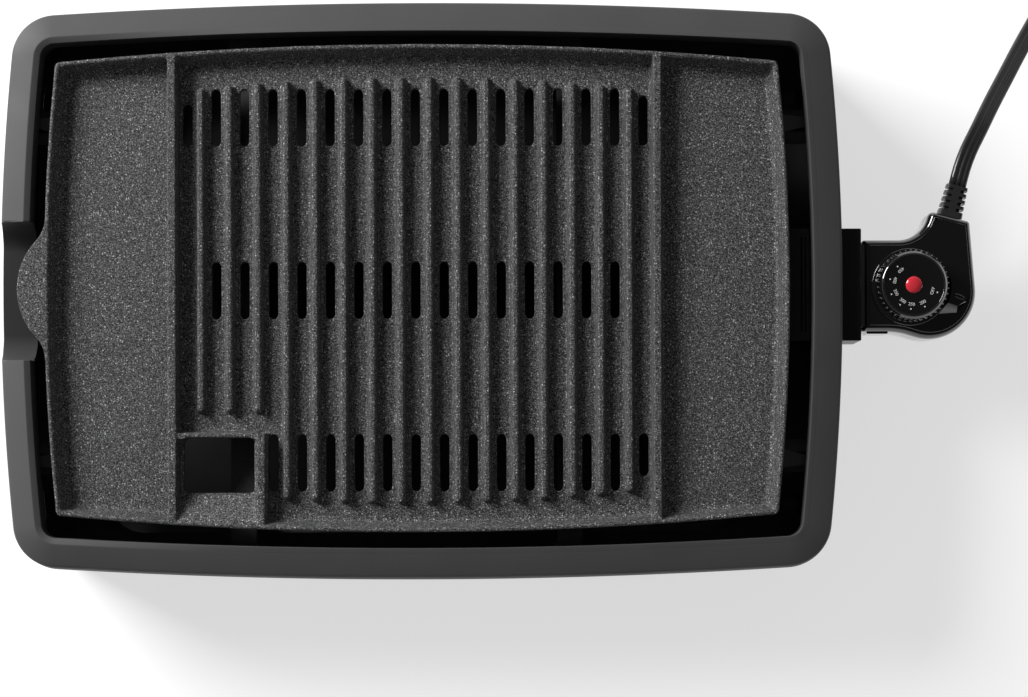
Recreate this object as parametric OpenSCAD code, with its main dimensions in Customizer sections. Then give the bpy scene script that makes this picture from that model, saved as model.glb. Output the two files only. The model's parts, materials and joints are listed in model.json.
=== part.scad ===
// Electric indoor grill: a bowed cast plate with ribs, drip slots and a pouring hole, held inside a moulded
// base over a tubular element and a drip tray, with a plug-in thermostat control on a flat cord.
// The frame's origin is on the table under the middle of the grill and its control. +X runs to the control,
// +Y to the back, +Z up. Lengths are in millimetres.

/* [Base] */
// length of the rim from left to right
base_length = 452; // [448:1:458]
// width of the rim from front to back
base_width = 308; // [305:1:314]
// radius of the rim's outer corners
base_corner = 23; // [21:1:26]
// height of the rim's crest above the table
rim_height = 82; // [81.5:0.5:84]
// width of the turned-in rim
rim_width = 15; // [14:0.5:16]
// half the length of the hand scoop in the left rim
scoop_half = 37.2; // [34:0.1:42]
// depth of the hand scoop below the rim's crest
scoop_depth = 16; // [14.5:0.5:17.5]
// height of the rubber feet
foot_height = 6; // [5:0.5:6]

/* [Grill plate] */
// gap between the rim and the plate's left and right lips
end_gap = 10.75; // [9.5:0.25:12]
// gap between the rim and the plate's front and back lips
side_gap = 8; // [6.5:0.5:9]
// depth of the plate's floor below its lip
plate_depth = 10; // [9:0.5:10.5]
// thickness of the plate's floor
plate_floor = 4; // [3.5:0.1:4.5]
// distance from one rib to the next
rib_pitch = 15.4; // [14.8:0.1:15.6]
// height of the ribs above the plate's floor
rib_height = 6; // [5:0.5:8]
// width of a rib's flat crest
rib_crest = 3.4; // [2.6:0.1:4]
// width of the drip slots
slot_width = 5; // [4:0.1:5.6]
// length of the drip slots
slot_length = 31; // [24:1:33]
// length of the pouring hole from left to right
hole_length = 39; // [34:1:40]
// width of the pouring hole from front to back
hole_width = 29.6; // [26:0.2:30]
// how far the lift tab stands out from the plate's left lip
tab_reach = 14.4; // [12:0.1:15]

/* [Drip tray and element] */
// depth of the drip tray
tray_depth = 26; // [20:1:28]
// radius of the heating element's sheath
element_radius = 3.5; // [3:0.1:4]

/* [Control] */
// radius of the dial's top disc
dial_radius = 17.3; // [16:0.1:18]
// height of the dial above the control
dial_height = 13.6; // [12:0.2:15]
// radius of the terminal pins
pin_radius = 2; // [1.6:0.1:2.2]
// radius of the sensing rod
rod_radius = 3; // [2.5:0.1:3.2]

/* [Cord] */
// width of the flat cord
cord_width = 9.8; // [9:0.1:10.2]
// thickness of the flat cord
cord_thickness = 4.2; // [3.8:0.1:4.4]

/* [Hidden] */
large_arc = 360;
middle_arc = 48;
small_arc = 24;
screw_arc = 20;
press_gap = 0.05;
seat_gap = 0.2;
cut_extra = 1;

// base outline: four long arcs and four corner arcs, tangent where they meet
half_length = base_length / 2;
half_width = base_width / 2;
long_bow = 3.5;
short_bow = 5.7;
bow_scale = sin(long_bow) * sin(short_bow) - (1 - cos(short_bow)) * (1 - cos(long_bow));
long_reach = round(100 * ((half_length - base_corner) * sin(short_bow)
    - (half_width - base_corner) * (1 - cos(short_bow))) / bow_scale) / 100;
short_reach = round(100 * ((half_width - base_corner) * sin(long_bow)
    - (half_length - base_corner) * (1 - cos(long_bow))) / bow_scale) / 100;
corner_x = long_reach * sin(long_bow);
corner_y = short_reach * sin(short_bow);
long_centre = corner_y - long_reach * cos(long_bow);
short_centre = corner_x - short_reach * cos(short_bow);
// the corner runs lap the side runs by this angle and stand this much proud of them
corner_lap = 1;
corner_proud = 0.04;

// base section
wall_flare = 2.6;
wall_thickness = 2.8;
floor_rise = 0.8;
floor_thickness = 2.6;
rim_inner = -rim_width;
skirt_depth = 12;
rim_skin = 2.8;
scoop_round = 14.5;
scoop_skin = 3;
scoop_lap = 0.2;
foot_radius = 9;
foot_inset_x = 20;
foot_inset_y = 38;
foot_x = half_length - foot_inset_x;
foot_y = half_width - foot_inset_y;
foot_recess = 2.6;
foot_edge = 0.8;
head_play = 0.4;
shank_play = 0.1;
foot_post_wall = 1;
screw_radius = 1.75;
screw_head = 3.6;
screw_head_height = 1.8;
screw_edge = 0.4;
screw_play = 0.25;
foot_screw_bite = 9;
boss_radius = 4.5;
boss_height = 11;

// where the plate rests
plate_half_length = half_length - rim_width - end_gap;
plate_half_width = half_width - rim_width - side_gap;
leg_inset_x = 16.25;
leg_inset_y = 41;
leg_x = plate_half_length - leg_inset_x;
leg_y = plate_half_width - leg_inset_y;
leg_radius = 5;
leg_length = 4;
pad_radius = 6;
plate_top = rim_height + 2;
plate_level = plate_top - plate_depth;
plate_under = plate_level - plate_floor;
pad_top = plate_under - leg_length;
pad_thickness = 2;
shelf_thickness = 4;
shelf_half = 9;
gusset_drop = 26;
gusset_half = 2;
gusset_start = 8;
gusset_lap = 2;

// plate
plate_x = -2.2;
plate_y = 0.6;
plate_long_radius = 2000;
plate_short_radius = 1150;
plate_long_steps = 12;
plate_short_steps = 8;
plate_corner_cut = 1.4;
cavity_corner_cut = 1;
lip_edge = 3.4;
lip_round = 0.6;
lip_width = 1.9;
lip_slope = 2.5;
under_inset = 5.4;
under_edge = 1.6;
cavity_foot = 7.2;
cavity_turn = 5.9;
cavity_side = 5;
cavity_turn_rise = 0.5;
cavity_side_rise = 1.6;
under_edge_drop = 1;
through_extra = 5;
grill_x = -3.4;
rib_count = 16;
rib_short_count = 3;
rib_foot = rib_crest / 2 + 1.2;
rib_edge = 0.5;
rib_edge_drop = 1;
rib_edge_spread = 0.2;
rib_end_gap = 15.5;
rib_reach = plate_half_width - rib_end_gap;
rib_bow = 1150;
divider_shift = 0.6;
divider_offset = (rib_count + 1) * rib_pitch / 2 - divider_shift;
divider_crest = 2.1;
divider_foot = 3.2;
slot_row_inset = 37.6;
slot_row = plate_half_width - slot_row_inset;
slot_y = 0.5;
slot_bow = 8;
hole_inset_x = 4.7;
hole_inset_y = 51.7;
hole_left = grill_x - divider_offset + hole_inset_x;
hole_back = hole_inset_y - plate_half_width;
hole_round = 3;
frame_back = 2.4;
frame_right = 4;
frame_foot = 1.4;
frame_back_drop = 0.8;
frame_drop = 0.4;
frame_bevel = 2;
frame_bevel_drop = 3;
frame_lap = 1;
ramp_reach = 15.6;
rib_hole_gap = 12.9;
rib_short_end = hole_back + rib_hole_gap;
tab_radius = 38;
tab_run_out = 17;
tab_thickness = 3.8;
tab_lip = 0.9;
tab_root = 0.6;
tab_blend = 0.2;
sensor_reach = 62.5;
sensor_length = 16;
sensor_half = 6;

// drip tray
tray_x = -2;
tray_inset_x = 54;
tray_inset_y = 27;
tray_half_length = half_length - tray_inset_x;
tray_half_width = half_width - tray_inset_y;
tray_corner = 16;
tray_sheet = 1;
tray_flange = 4;
tray_bottom = foot_height + floor_rise + floor_thickness;

// element, its supports and the terminal block
socket_y = 3.5;
socket_reach = 12.5;
socket_face = half_length + socket_reach;
pin_half = 12.5;
block_gap = 2;
block_high = plate_under - block_gap;
block_depth = 28;
block_low = block_high - block_depth;
pin_level = block_high - block_depth / 2;
element_outer = 62;
element_turn = 16;
element_inner = element_outer - 2 * element_turn;
element_inset_left = 91;
element_inset_right = 131;
element_left = element_inset_left - half_length;
element_right = half_length - element_inset_right;
element_rise_gap = 80.5;
element_rise_x = socket_face - element_rise_gap;
lead_turn = 14;
lead_gap = 58.5;
lead_end = socket_face - lead_gap;
bead_length = 8;
bead_radius = 4.5;
bar_inset_left = 35;
bar_inset_right = 15;
bar_places = [element_left + bar_inset_left, element_right - bar_inset_right];
bar_half_width = 7;
bar_end_gap = 7;
bar_reach = half_width - bar_end_gap;
bar_thickness = 1.5;
bar_top = pin_level - element_radius;
bar_hole_inset = 13;
bar_hole_y = half_width - bar_hole_inset;
bar_screw_length = 8;
ledge_half = 9;
ledge_reach = 16;
ledge_height = 8;
ledge_lap = 1;
clip_wall = 1.1;
clip_length = 8;
block_half = 30.5;
block_length = 48.5;
block_back = 4;
cavity_half = 23;
cavity_half_height = 10;
cavity_low = pin_level - cavity_half_height;
cavity_high = pin_level + cavity_half_height;
ear_x = -24.5;
ear_thickness = 3;
ear_reach = 42;
ear_hole = 36.5;
ear_low = cavity_low;
ear_high = cavity_high;
ear_screw_length = 10;
ear_bore_stop = 1;
window_depth = 8;
window_length = 20;
block_rib_x = -32.5;
block_rib_width = 2;
block_rib_height = 1.2;
block_rib_end = 4.5;
pin_tip = -12.5;
earth_half = 4;
earth_length = 34;
earth_thickness = 1;
pin_edge = 1;
rod_play = 0.8;

// control
control_reach = 63.6;
frame_middle = (socket_reach + control_reach - wall_flare) / 2;
control_low = pin_level - 16;
control_split = pin_level - 2;
control_high = pin_level + 12;
control_skin = 2.2;
shoulder_inset = 3.3;
shoulder_start = 0.1;
shoulder_depth = 5;
inner_shoulder = 1.1;
base_inset = 3;
base_start = 0.3;
base_edge_depth = 3.5;
inner_base = 1.5;
inner_base_rise = 5;
inner_lap = 1;
latch_at = [10.8, -25.6];
latch_half = [5.8, 1.4];
latch_rise = 6;
latch_height = 4;
pointer_sink = 3;
pointer_rise = 2.4;
pointer_gap = 0.6;
nose_front = -34;
nose_back = 5;
nose_half = 22.5;
nose_half_height = 9.5;
nose_bore = 60;
earth_slot_x = -15;
earth_slot_half = 30;
earth_slot_depth = 2.2;
earth_slot_play = 0.5;
leaf_x = -8;
leaf_half = 16;
leaf_play = 0.05;
contact_play = 0.06;
contact_bottom = 4;
nose_low = pin_level - nose_half_height;
nose_high = pin_level + nose_half_height;
tube_radius = 3.2;
tube_front = -32;
tube_back = 12;
rod_tip = -73.5;
rod_back = 14;
rod_edge = 1.2;
dial_x = 26.7;
dial_y = -1.3;
skirt_radius = 21;
knurl_teeth = 40;
dial_gap = 0.6;
skirt_edge = 0.8;
skirt_rise = 2.6;
knob_draft = 0.9;
dial_step = 0.4;
dial_ring = 1.4;
dial_lip_out = 0.5;
dial_lip_in = 1.1;
knurl_rise = 2;
knurl_drop = 2.2;
knurl_high = 2.1;
knurl_low = 0.8;
shaft_radius = 5;
shaft_play = 0.08;
shaft_bore = 3.2;
shaft_low = control_split + 5;
thermostat_top = control_split - 2;
thermostat_half = [13, 11];
spring_y = 7.5;
spring_half = [12, 2];
spring_thickness = 0.8;
spring_tip_x = 8;
spring_tip_radius = 1.6;
spring_tip_height = 1.2;
lens_radius = 4.5;
lens_depth = 5;
lens_edge = 0.4;
lens_dome = 0.9;
lamp_radius = 2.6;
lamp_height = 18;
lamp_side = 15;
lamp_round = 1.4;
lamp_tip = 0.5;
control_screws_at = [[9, 19.8], [9, -19.8], [51, 20]];
control_screw_radius = 1.25;
control_screw_head = 2.5;
control_screw_head_height = 1.8;
control_screw_length = 20;
control_screw_seat = 3;
control_bore_depth = 11;
control_head_play = 0.1;
control_post_radius = 3.2;
relief_x = 50.6;
relief_y = 37.8;
relief_angle = -15;
relief_length = 18.3;
relief_grooves = 4;
relief_big = [6.8, 4.8];
relief_small = [5.9, 3.7];
relief_round = 2;
relief_neck = [5.4, 3.9];
relief_flange = [7, 5];
relief_flange_depth = 2.4;
relief_flange_back = 2.6;
relief_play = 0.05;
neck_lap = 1.5;
groove_width = 1.7;
groove_core = [8.6, 4.6];
groove_web = 4;
groove_start = 1.4;
groove_end_share = 1.2;
groove_pitch = relief_length / (relief_grooves + groove_end_share);
control_centre = [36, 9];

// control outline: [centre x, centre y, radius, first angle, last angle, steps, 1 convex or -1 concave]
control_arcs = [
    [3, -23.8, 1.5, 180, 270, 3, 1],
    [14.5, -69.3, 44, 90, 77, 2, -1],
    [37.8, -3.5, 25.8, -109.5, 4.8, 12, 1],
    [58.1, 33.15, 2.5, 4.8, 75, 4, 1],
    [40.6, 36.8, 3.5, 75, 143, 3, 1],
    [21, 41.8, 16.7, -14.3, -90, 6, -1],
    [3, 23.6, 1.5, 90, 180, 3, 1]
];

// cord route from the strain relief to the coil, then from the coil to the plug, from the socket's mouth
cord_route = [
    [55.4, 55.6, 52],
    [58, 65.3, 52],
    [62, 75.5, 50.6],
    [69, 88.5, 46],
    [77.5, 104, 38.5],
    [87.5, 121, 29.5],
    [97.5, 138, 20.5],
    [108, 155, 12],
    [119, 172, 5.5],
    [130, 189, 2.8],
    [141, 206, 2.8]
];
coil_centre = [186, 177];
coil_radius = 54;
coil_layers = 2;
coil_bottom = 0.6;
coil_top_turn = 148;
coil_edge = 1;
coil_lap = 2;
tail_route = [[240, 177, 11.1], [240, 163, 11.3], [240, 149, 12], [240, 136, 12]];
tie_half = 4;
tie_skin = 0.6;
tie_side_gap = 0.25;
tie_top_gap = 0.1;
tie_under_gap = 0.05;
tie_angle = 260;
plug_back = 136;
plug_x = 240;
plug_level = 12;
plug_boot = 14;
plug_length = 30;
blade_length = 17.5;
blade_gap = 6.35;
blade_low = 2.2;
blade_high = 8.6;
blade_half = 0.75;
blade_socket = 6;
blade_seat = 5;
blade_root = 3;
earth_pin_radius = 2.4;
earth_pin_seat = 11;
earth_pin_drop = 6.5;
earth_pin_length = 31.5;
earth_pin_point = 3;
earth_pin_tip = 1;
earth_pin_bore = 20;
boot_small = [6.5, 4];
boot_big = [8, 6.5];
plug_face = [13, 12];
plug_shoulder = 1.5;
plug_shoulder_length = 4;
plug_round = 4;

// points along an arc, both ends included
function arc_points(x, y, radius, first, last, steps) = [
    for (i = [0:steps]) [
        x + radius * cos(first + (last - first) * i / steps),
        y + radius * sin(first + (last - first) * i / steps)
    ]
];

// one quarter of the base's outline, moved out by grow
function bow_quarter(grow) = concat(
    arc_points(short_centre, 0, short_reach + base_corner + grow, short_bow / 3, short_bow, 2),
    arc_points(corner_x, corner_y, base_corner + grow, short_bow + 12, 78 - long_bow, 4),
    arc_points(0, long_centre, long_reach + base_corner + grow, 90 - long_bow, 90 - long_bow / 4, 3)
);

function bow_outline(grow) = let (q = bow_quarter(grow), n = len(q) - 1) concat(
    q,
    [for (i = [n:-1:0]) [-q[i][0], q[i][1]]],
    [for (p = q) [-p[0], -p[1]]],
    [for (i = [n:-1:0]) [q[i][0], -q[i][1]]]
);

function rounded_rectangle(half_x, half_y, radius, steps) = concat(
    arc_points(half_x - radius, half_y - radius, radius, 0, 90, steps),
    arc_points(radius - half_x, half_y - radius, radius, 90, 180, steps),
    arc_points(radius - half_x, radius - half_y, radius, 180, 270, steps),
    arc_points(half_x - radius, radius - half_y, radius, 270, 360, steps)
);

function slot_points(half_x, low_y, high_y) = concat(
    arc_points(0, high_y - half_x, half_x, 0, 180, 6),
    arc_points(0, low_y + half_x, half_x, 180, 360, 6)
);

function tenth(value) = round(10 * value) / 10;

// control outline moved in by inset; a small corner keeps part of its own radius
function control_outline(inset) = [
    for (a = control_arcs)
        for (p = arc_points(a[0], a[1], a[6] > 0 ? a[2] - min(inset, a[2] - 0.4) : a[2] + inset,
                a[3], a[4], a[5])) p
];

// plate outline moved out by grow: four bowed sides whose corners are cut short by trim
function plate_outline(grow, trim) = let (
    short_x = plate_half_length - plate_short_radius,
    long_y = plate_half_width - plate_long_radius,
    short_r = plate_short_radius + grow,
    long_r = plate_long_radius + grow,
    apart = norm([short_x, long_y]),
    along = (short_r * short_r - long_r * long_r + apart * apart) / (2 * apart),
    aside = sqrt(short_r * short_r - along * along),
    corner = [short_x * (1 - along / apart) - aside * long_y / apart,
        long_y * along / apart - aside * short_x / apart],
    short_turn = asin((corner[1] - trim) / short_r),
    long_turn = acos((corner[0] - trim) / long_r)
) concat(
    arc_points(short_x, 0, short_r, -short_turn, short_turn, plate_short_steps),
    arc_points(0, long_y, long_r, long_turn, 180 - long_turn, plate_long_steps),
    arc_points(-short_x, 0, short_r, 180 - short_turn, 180 + short_turn, plate_short_steps),
    arc_points(0, -long_y, long_r, 180 + long_turn, 360 - long_turn, plate_long_steps)
);

function raised(points, level) = [for (p = points) [p[0], p[1], level]];

function cross_unit(a, b) = let (c = cross(a, b)) c / norm(c);

module placed() {
    translate([-frame_middle, 0, 0]) children();
}

module at_socket() {
    translate([socket_face - frame_middle, socket_y, 0]) children();
}

module at_plate() {
    translate([plate_x, plate_y, 0]) children();
}

// a solid through rings that have the same number of points; each end is capped round its centre
module skin(rings, centres) {
    count = len(rings[0]);
    last = len(rings) - 1;
    sides = [
        for (k = [0:last - 1]) for (i = [0:count - 1])
            each [
                [k * count + i, (k + 1) * count + i, (k + 1) * count + (i + 1) % count],
                [k * count + i, (k + 1) * count + (i + 1) % count, k * count + (i + 1) % count]
            ]
    ];
    ends = [
        for (i = [0:count - 1])
            each [
                [(last + 1) * count, i, (i + 1) % count],
                [(last + 1) * count + 1, last * count + (i + 1) % count, last * count + i]
            ]
    ];
    polyhedron(points = concat([for (ring = rings) for (p = ring) p], centres), faces = concat(sides, ends));
}

// a solid through level rings, capped round one centre
module loft(rings, centre) {
    skin(rings, [for (k = [0, len(rings) - 1]) [centre[0], centre[1], rings[k][0][2]]]);
}

// sweeps a section round the base: the first child for the sides, the second for the corners
module bowed_sweep() {
    for (turn = [0, 180]) rotate(turn) {
        translate([0, long_centre, 0])
            rotate(90 - long_bow)
                rotate_extrude(angle = 2 * long_bow, $fn = large_arc)
                    translate([long_reach + base_corner, 0]) children(0);
        translate([short_centre, 0, 0])
            rotate(-short_bow)
                rotate_extrude(angle = 2 * short_bow, $fn = large_arc)
                    translate([short_reach + base_corner, 0]) children(0);
        for (side = [0, 1]) mirror([side, 0, 0])
            translate([corner_x, corner_y, 0])
                rotate(short_bow - corner_lap)
                    rotate_extrude(angle = 90 - long_bow - short_bow + 2 * corner_lap, $fn = middle_arc)
                        translate([base_corner, 0]) children(1);
    }
}

// the base's wall with its turned-in rim; proud moves every face out
module shell_section(proud) {
    top = rim_height;
    polygon([
        [1.6 + proud, foot_height - proud],
        [wall_flare + proud, top - 24],
        [2.2 + proud, top - 14],
        [0.8 + proud, top - 6.2 + proud],
        [0 + proud, top - 4.4 + proud],
        [-1.5, top - 3.1 + proud],
        [-4, top - 2.3 + proud],
        [-9, top - 0.8 + proud],
        [rim_inner + 3.2, top - 0.15 + proud],
        [rim_inner + 2.6, top + proud],
        [rim_inner + 1.9, top - 0.1 + proud],
        [rim_inner + 0.4 - proud, top - 1.6 + proud],
        [rim_inner - proud, top - 2.6],
        [rim_inner - proud, top - skirt_depth - proud],
        [rim_inner + 2.6 + proud, top - skirt_depth - proud],
        [rim_inner + 2.6 + proud, top - rim_skin - 0.8 - proud],
        [rim_inner + 4, top - rim_skin - 0.4 - proud],
        [-4.5, top - rim_skin - 2.4 - proud],
        [-2.5 - proud, top - rim_skin - 4 - proud],
        [2.2 - wall_thickness - proud, top - 14],
        [wall_flare - wall_thickness - proud, top - 24],
        [1.6 - wall_thickness - proud, foot_height - proud]
    ]);
}

// the hand scoop's front view, grown outward by grow
module scoop_shape(grow) {
    level = rim_height - scoop_depth + scoop_round;
    flat_half = scoop_half - scoop_round;
    for (side = [-1, 1]) translate([side * flat_half, level]) circle(scoop_round + grow, $fn = middle_arc);
    translate([-flat_half, level - scoop_round - grow])
        square([2 * flat_half, scoop_round + grow + cut_extra]);
    translate([-scoop_half - grow, level]) square([2 * (scoop_half + grow), scoop_depth]);
}

module scoop_prism(grow) {
    translate([-half_length - 2 * wall_flare, 0, 0])
        rotate([90, 0, 90]) linear_extrude(2 * wall_flare - rim_inner + cut_extra) scoop_shape(grow);
}

// the floor and ends of the hand scoop inside the left rim, kept under the rim's skin
module scoop_dish() {
    outer = -half_length - scoop_lap;
    inner = rim_width - half_length - seat_gap;
    low = rim_height - scoop_depth - scoop_skin;
    side = scoop_half + 2 * scoop_skin;
    intersection() {
        translate([outer, 0, 0]) rotate([90, 0, 90]) linear_extrude(inner - outer) scoop_shape(scoop_skin);
        translate([0, side, 0]) rotate([90, 0, 0]) linear_extrude(2 * side)
            polygon([
                [outer - cut_extra, low - cut_extra],
                [inner + cut_extra, low - cut_extra],
                [inner + cut_extra, rim_height - rim_skin - 0.2],
                [rim_width - 3 - half_length, rim_height - rim_skin - 0.2],
                [4 - half_length, rim_height - rim_skin - 2.2],
                [2 - half_length, rim_height - rim_skin - 4.6],
                [outer - cut_extra, rim_height - rim_skin - 4.6]
            ]);
    }
}

// a shelf on an end wall, with its gusset, under one of the plate's legs
module plate_shelf(end, side) {
    tip = leg_x + end * plate_x - pad_radius;
    length = half_length - tip;
    shelf_low = pad_top - pad_thickness - shelf_thickness;
    scale_end = end < 0 ? [1, 0, 0] : [0, 0, 0];
    mirror(scale_end) {
        translate([tip, side * leg_y + plate_y - shelf_half, shelf_low])
            cube([length - 2, 2 * shelf_half, shelf_thickness]);
        translate([0, side * leg_y + plate_y + gusset_half, 0])
            rotate([90, 0, 0])
                linear_extrude(2 * gusset_half)
                    polygon([
                        [tip + gusset_start, shelf_low + cut_extra],
                        [half_length - gusset_lap, shelf_low + cut_extra],
                        [half_length - gusset_lap, shelf_low - gusset_drop]
                    ]);
    }
}

module base_housing() placed() color([0.09, 0.09, 0.09]) difference() {
    union() {
        bowed_sweep() {
            shell_section(0);
            shell_section(corner_proud);
        }
        translate([0, 0, foot_height + floor_rise]) linear_extrude(floor_thickness) polygon(bow_outline(0.2));
        scoop_dish();
        for (x = [-1, 1]) for (y = [-1, 1]) {
            translate([x * foot_x, y * foot_y, foot_height]) {
                cylinder(r = foot_radius + foot_post_wall, h = floor_rise + cut_extra, $fn = small_arc);
                translate([0, 0, cut_extra]) cylinder(r = boss_radius, h = boss_height, $fn = small_arc);
            }
            plate_shelf(x, y);
        }
        for (x = bar_places) for (y = [-1, 1])
            translate([x - ledge_half, y * (half_width - ledge_lap - ledge_reach / 2) - ledge_reach / 2,
                    bar_top - bar_thickness - ledge_height])
                cube([2 * ledge_half, ledge_reach, ledge_height]);
        for (y = [-1, 1])
            translate([socket_face + ear_x + ear_thickness, socket_y + y * ear_hole, pin_level])
                rotate([0, 90, 0])
                    cylinder(r = boss_radius, h = half_length - socket_face - ear_x - ear_thickness,
                        $fn = small_arc);
    }
    scoop_prism(0);
    for (x = [-1, 1]) for (y = [-1, 1])
        translate([x * foot_x, y * foot_y, foot_height - cut_extra])
            cylinder(r = screw_radius + press_gap, h = boss_height + cut_extra, $fn = screw_arc);
    for (x = bar_places) for (y = [-1, 1])
        translate([x, y * bar_hole_y, bar_top - bar_thickness - ledge_height - cut_extra])
            cylinder(r = screw_radius + press_gap, h = ledge_height + 2 * cut_extra, $fn = screw_arc);
    for (y = [-1, 1])
        translate([socket_face + ear_x + cut_extra, socket_y + y * ear_hole, pin_level])
            rotate([0, 90, 0])
                cylinder(r = screw_radius + press_gap, h = ear_screw_length - ear_bore_stop, $fn = screw_arc);
    translate([half_length - window_depth, socket_y - block_half - seat_gap, block_low - seat_gap])
        cube([window_length, 2 * (block_half + seat_gap), block_high - block_low + 2 * seat_gap]);
}

module foot(x, y) placed() color([0.13, 0.13, 0.13]) {
    translate([x * foot_x, y * foot_y, 0])
        rotate_extrude($fn = small_arc)
            polygon([
                [screw_head + head_play, 0],
                [foot_radius - foot_edge, 0],
                [foot_radius, foot_edge],
                [foot_radius, foot_height],
                [screw_radius + shank_play, foot_height],
                [screw_radius + shank_play, foot_recess],
                [screw_head + head_play, foot_recess]
            ]);
}

module foot_front_left() foot(-1, -1);

module foot_front_right() foot(1, -1);

module foot_rear_left() foot(-1, 1);

module foot_rear_right() foot(1, 1);

// a screw whose head's underside is at the origin and whose shank points up
module screw(radius, head, head_height, length) {
    rotate_extrude($fn = screw_arc)
        polygon([
            [0, -head_height],
            [head - screw_edge, -head_height],
            [head, screw_edge - head_height],
            [head, 0],
            [radius, 0],
            [radius, length - radius],
            [0, length]
        ]);
}

module foot_screws() placed() color([0.7, 0.7, 0.72]) {
    for (x = [-1, 1]) for (y = [-1, 1])
        translate([x * foot_x, y * foot_y, foot_recess])
            screw(screw_radius, screw_head, screw_head_height, foot_height - foot_recess + foot_screw_bite);
}

module plate_pad(x, y) placed() color([0.2, 0.2, 0.2]) {
    at_plate() translate([x * leg_x, y * leg_y, pad_top - pad_thickness])
        cylinder(r = pad_radius, h = pad_thickness, $fn = small_arc);
}

module plate_pad_front_left() plate_pad(-1, -1);

module plate_pad_front_right() plate_pad(1, -1);

module plate_pad_rear_left() plate_pad(-1, 1);

module plate_pad_rear_right() plate_pad(1, 1);

module drip_tray() placed() color([0.55, 0.56, 0.58]) translate([tray_x, 0, tray_bottom]) {
    difference() {
        union() {
            linear_extrude(tray_depth)
                polygon(rounded_rectangle(tray_half_length, tray_half_width, tray_corner, 5));
            translate([0, 0, tray_depth - tray_sheet]) linear_extrude(tray_sheet)
                polygon(rounded_rectangle(tray_half_length + tray_flange, tray_half_width + tray_flange,
                    tray_corner + tray_flange, 5));
        }
        translate([0, 0, tray_sheet]) linear_extrude(tray_depth)
            polygon(rounded_rectangle(tray_half_length - tray_sheet, tray_half_width - tray_sheet,
                tray_corner - tray_sheet, 5));
    }
}

// a straight stretch of sheath along X from one place to another
module sheath_x(from, to, y) {
    translate([from, y, pin_level]) rotate([0, 90, 0])
        cylinder(r = element_radius, h = to - from, $fn = small_arc);
}

module sheath_y(x, from, to) {
    translate([x, to, pin_level]) rotate([90, 0, 0])
        cylinder(r = element_radius, h = to - from, $fn = small_arc);
}

module sheath_turn(x, y, radius, first, sweep) {
    translate([x, y, pin_level]) rotate(first)
        rotate_extrude(angle = sweep, $fn = middle_arc)
            translate([radius, 0]) circle(element_radius, $fn = small_arc);
}

module heating_element() placed() color([0.35, 0.36, 0.36]) {
    rise = element_rise_x;
    sheath_turn(element_right, 0, element_inner, -90, 180);
    for (side = [-1, 1]) {
        lead_y = socket_y + side * pin_half;
        sheath_x(element_left, element_right, side * element_inner);
        sheath_x(element_left, rise - element_turn, side * element_outer);
        sheath_turn(element_left, side * (element_inner + element_turn), element_turn, 90, 180);
        sheath_turn(rise - element_turn, side * (element_outer - element_turn), element_turn,
            side > 0 ? 0 : -90, 90);
        sheath_turn(rise + lead_turn, lead_y + side * lead_turn, lead_turn, side > 0 ? 180 : 90, 90);
        sheath_x(rise + lead_turn, lead_end, lead_y);
        if (side > 0) sheath_y(rise, lead_y + lead_turn, element_outer - element_turn);
        else sheath_y(rise, element_turn - element_outer, lead_y - lead_turn);
    }
}

module element_bead(side) placed() color([0.88, 0.86, 0.8]) {
    translate([lead_end, socket_y + side * pin_half, pin_level]) rotate([0, 90, 0])
        difference() {
            cylinder(r = bead_radius, h = bead_length, $fn = small_arc);
            translate([0, 0, -cut_extra])
                cylinder(r = pin_radius + press_gap, h = bead_length + 2 * cut_extra, $fn = small_arc);
        }
}

module element_bead_line() element_bead(1);

module element_bead_neutral() element_bead(-1);

module element_bar(x) placed() color([0.6, 0.61, 0.62]) difference() {
    translate([x - bar_half_width, -bar_reach, bar_top - bar_thickness])
        cube([2 * bar_half_width, 2 * bar_reach, bar_thickness]);
    for (y = [-1, 1]) translate([x, y * bar_hole_y, bar_top - bar_thickness - cut_extra])
        cylinder(r = screw_radius + screw_play, h = bar_thickness + 2 * cut_extra, $fn = screw_arc);
}

module element_bar_left() element_bar(bar_places[0]);

module element_bar_right() element_bar(bar_places[1]);

module element_bar_screws() placed() color([0.7, 0.7, 0.72]) {
    for (x = bar_places) for (y = [-1, 1])
        translate([x, y * bar_hole_y, bar_top]) rotate([180, 0, 0])
            screw(screw_radius, screw_head, screw_head_height, bar_screw_length);
}

module element_clips() placed() color([0.62, 0.63, 0.64]) {
    inner = element_radius + press_gap;
    outer = inner + clip_wall;
    for (x = bar_places) for (y = [-element_outer, -element_inner, element_inner, element_outer])
        translate([x - clip_length / 2, y, pin_level]) rotate([90, 0, 90])
            linear_extrude(clip_length) difference() {
                union() {
                    circle(outer, $fn = small_arc);
                    translate([-outer, -element_radius]) square([2 * outer, element_radius]);
                }
                circle(inner, $fn = small_arc);
                translate([-inner, -outer - cut_extra]) square([2 * inner, outer + cut_extra]);
                translate([-2 * outer, -3 * outer]) square([4 * outer, 3 * outer - element_radius]);
            }
}

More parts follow.
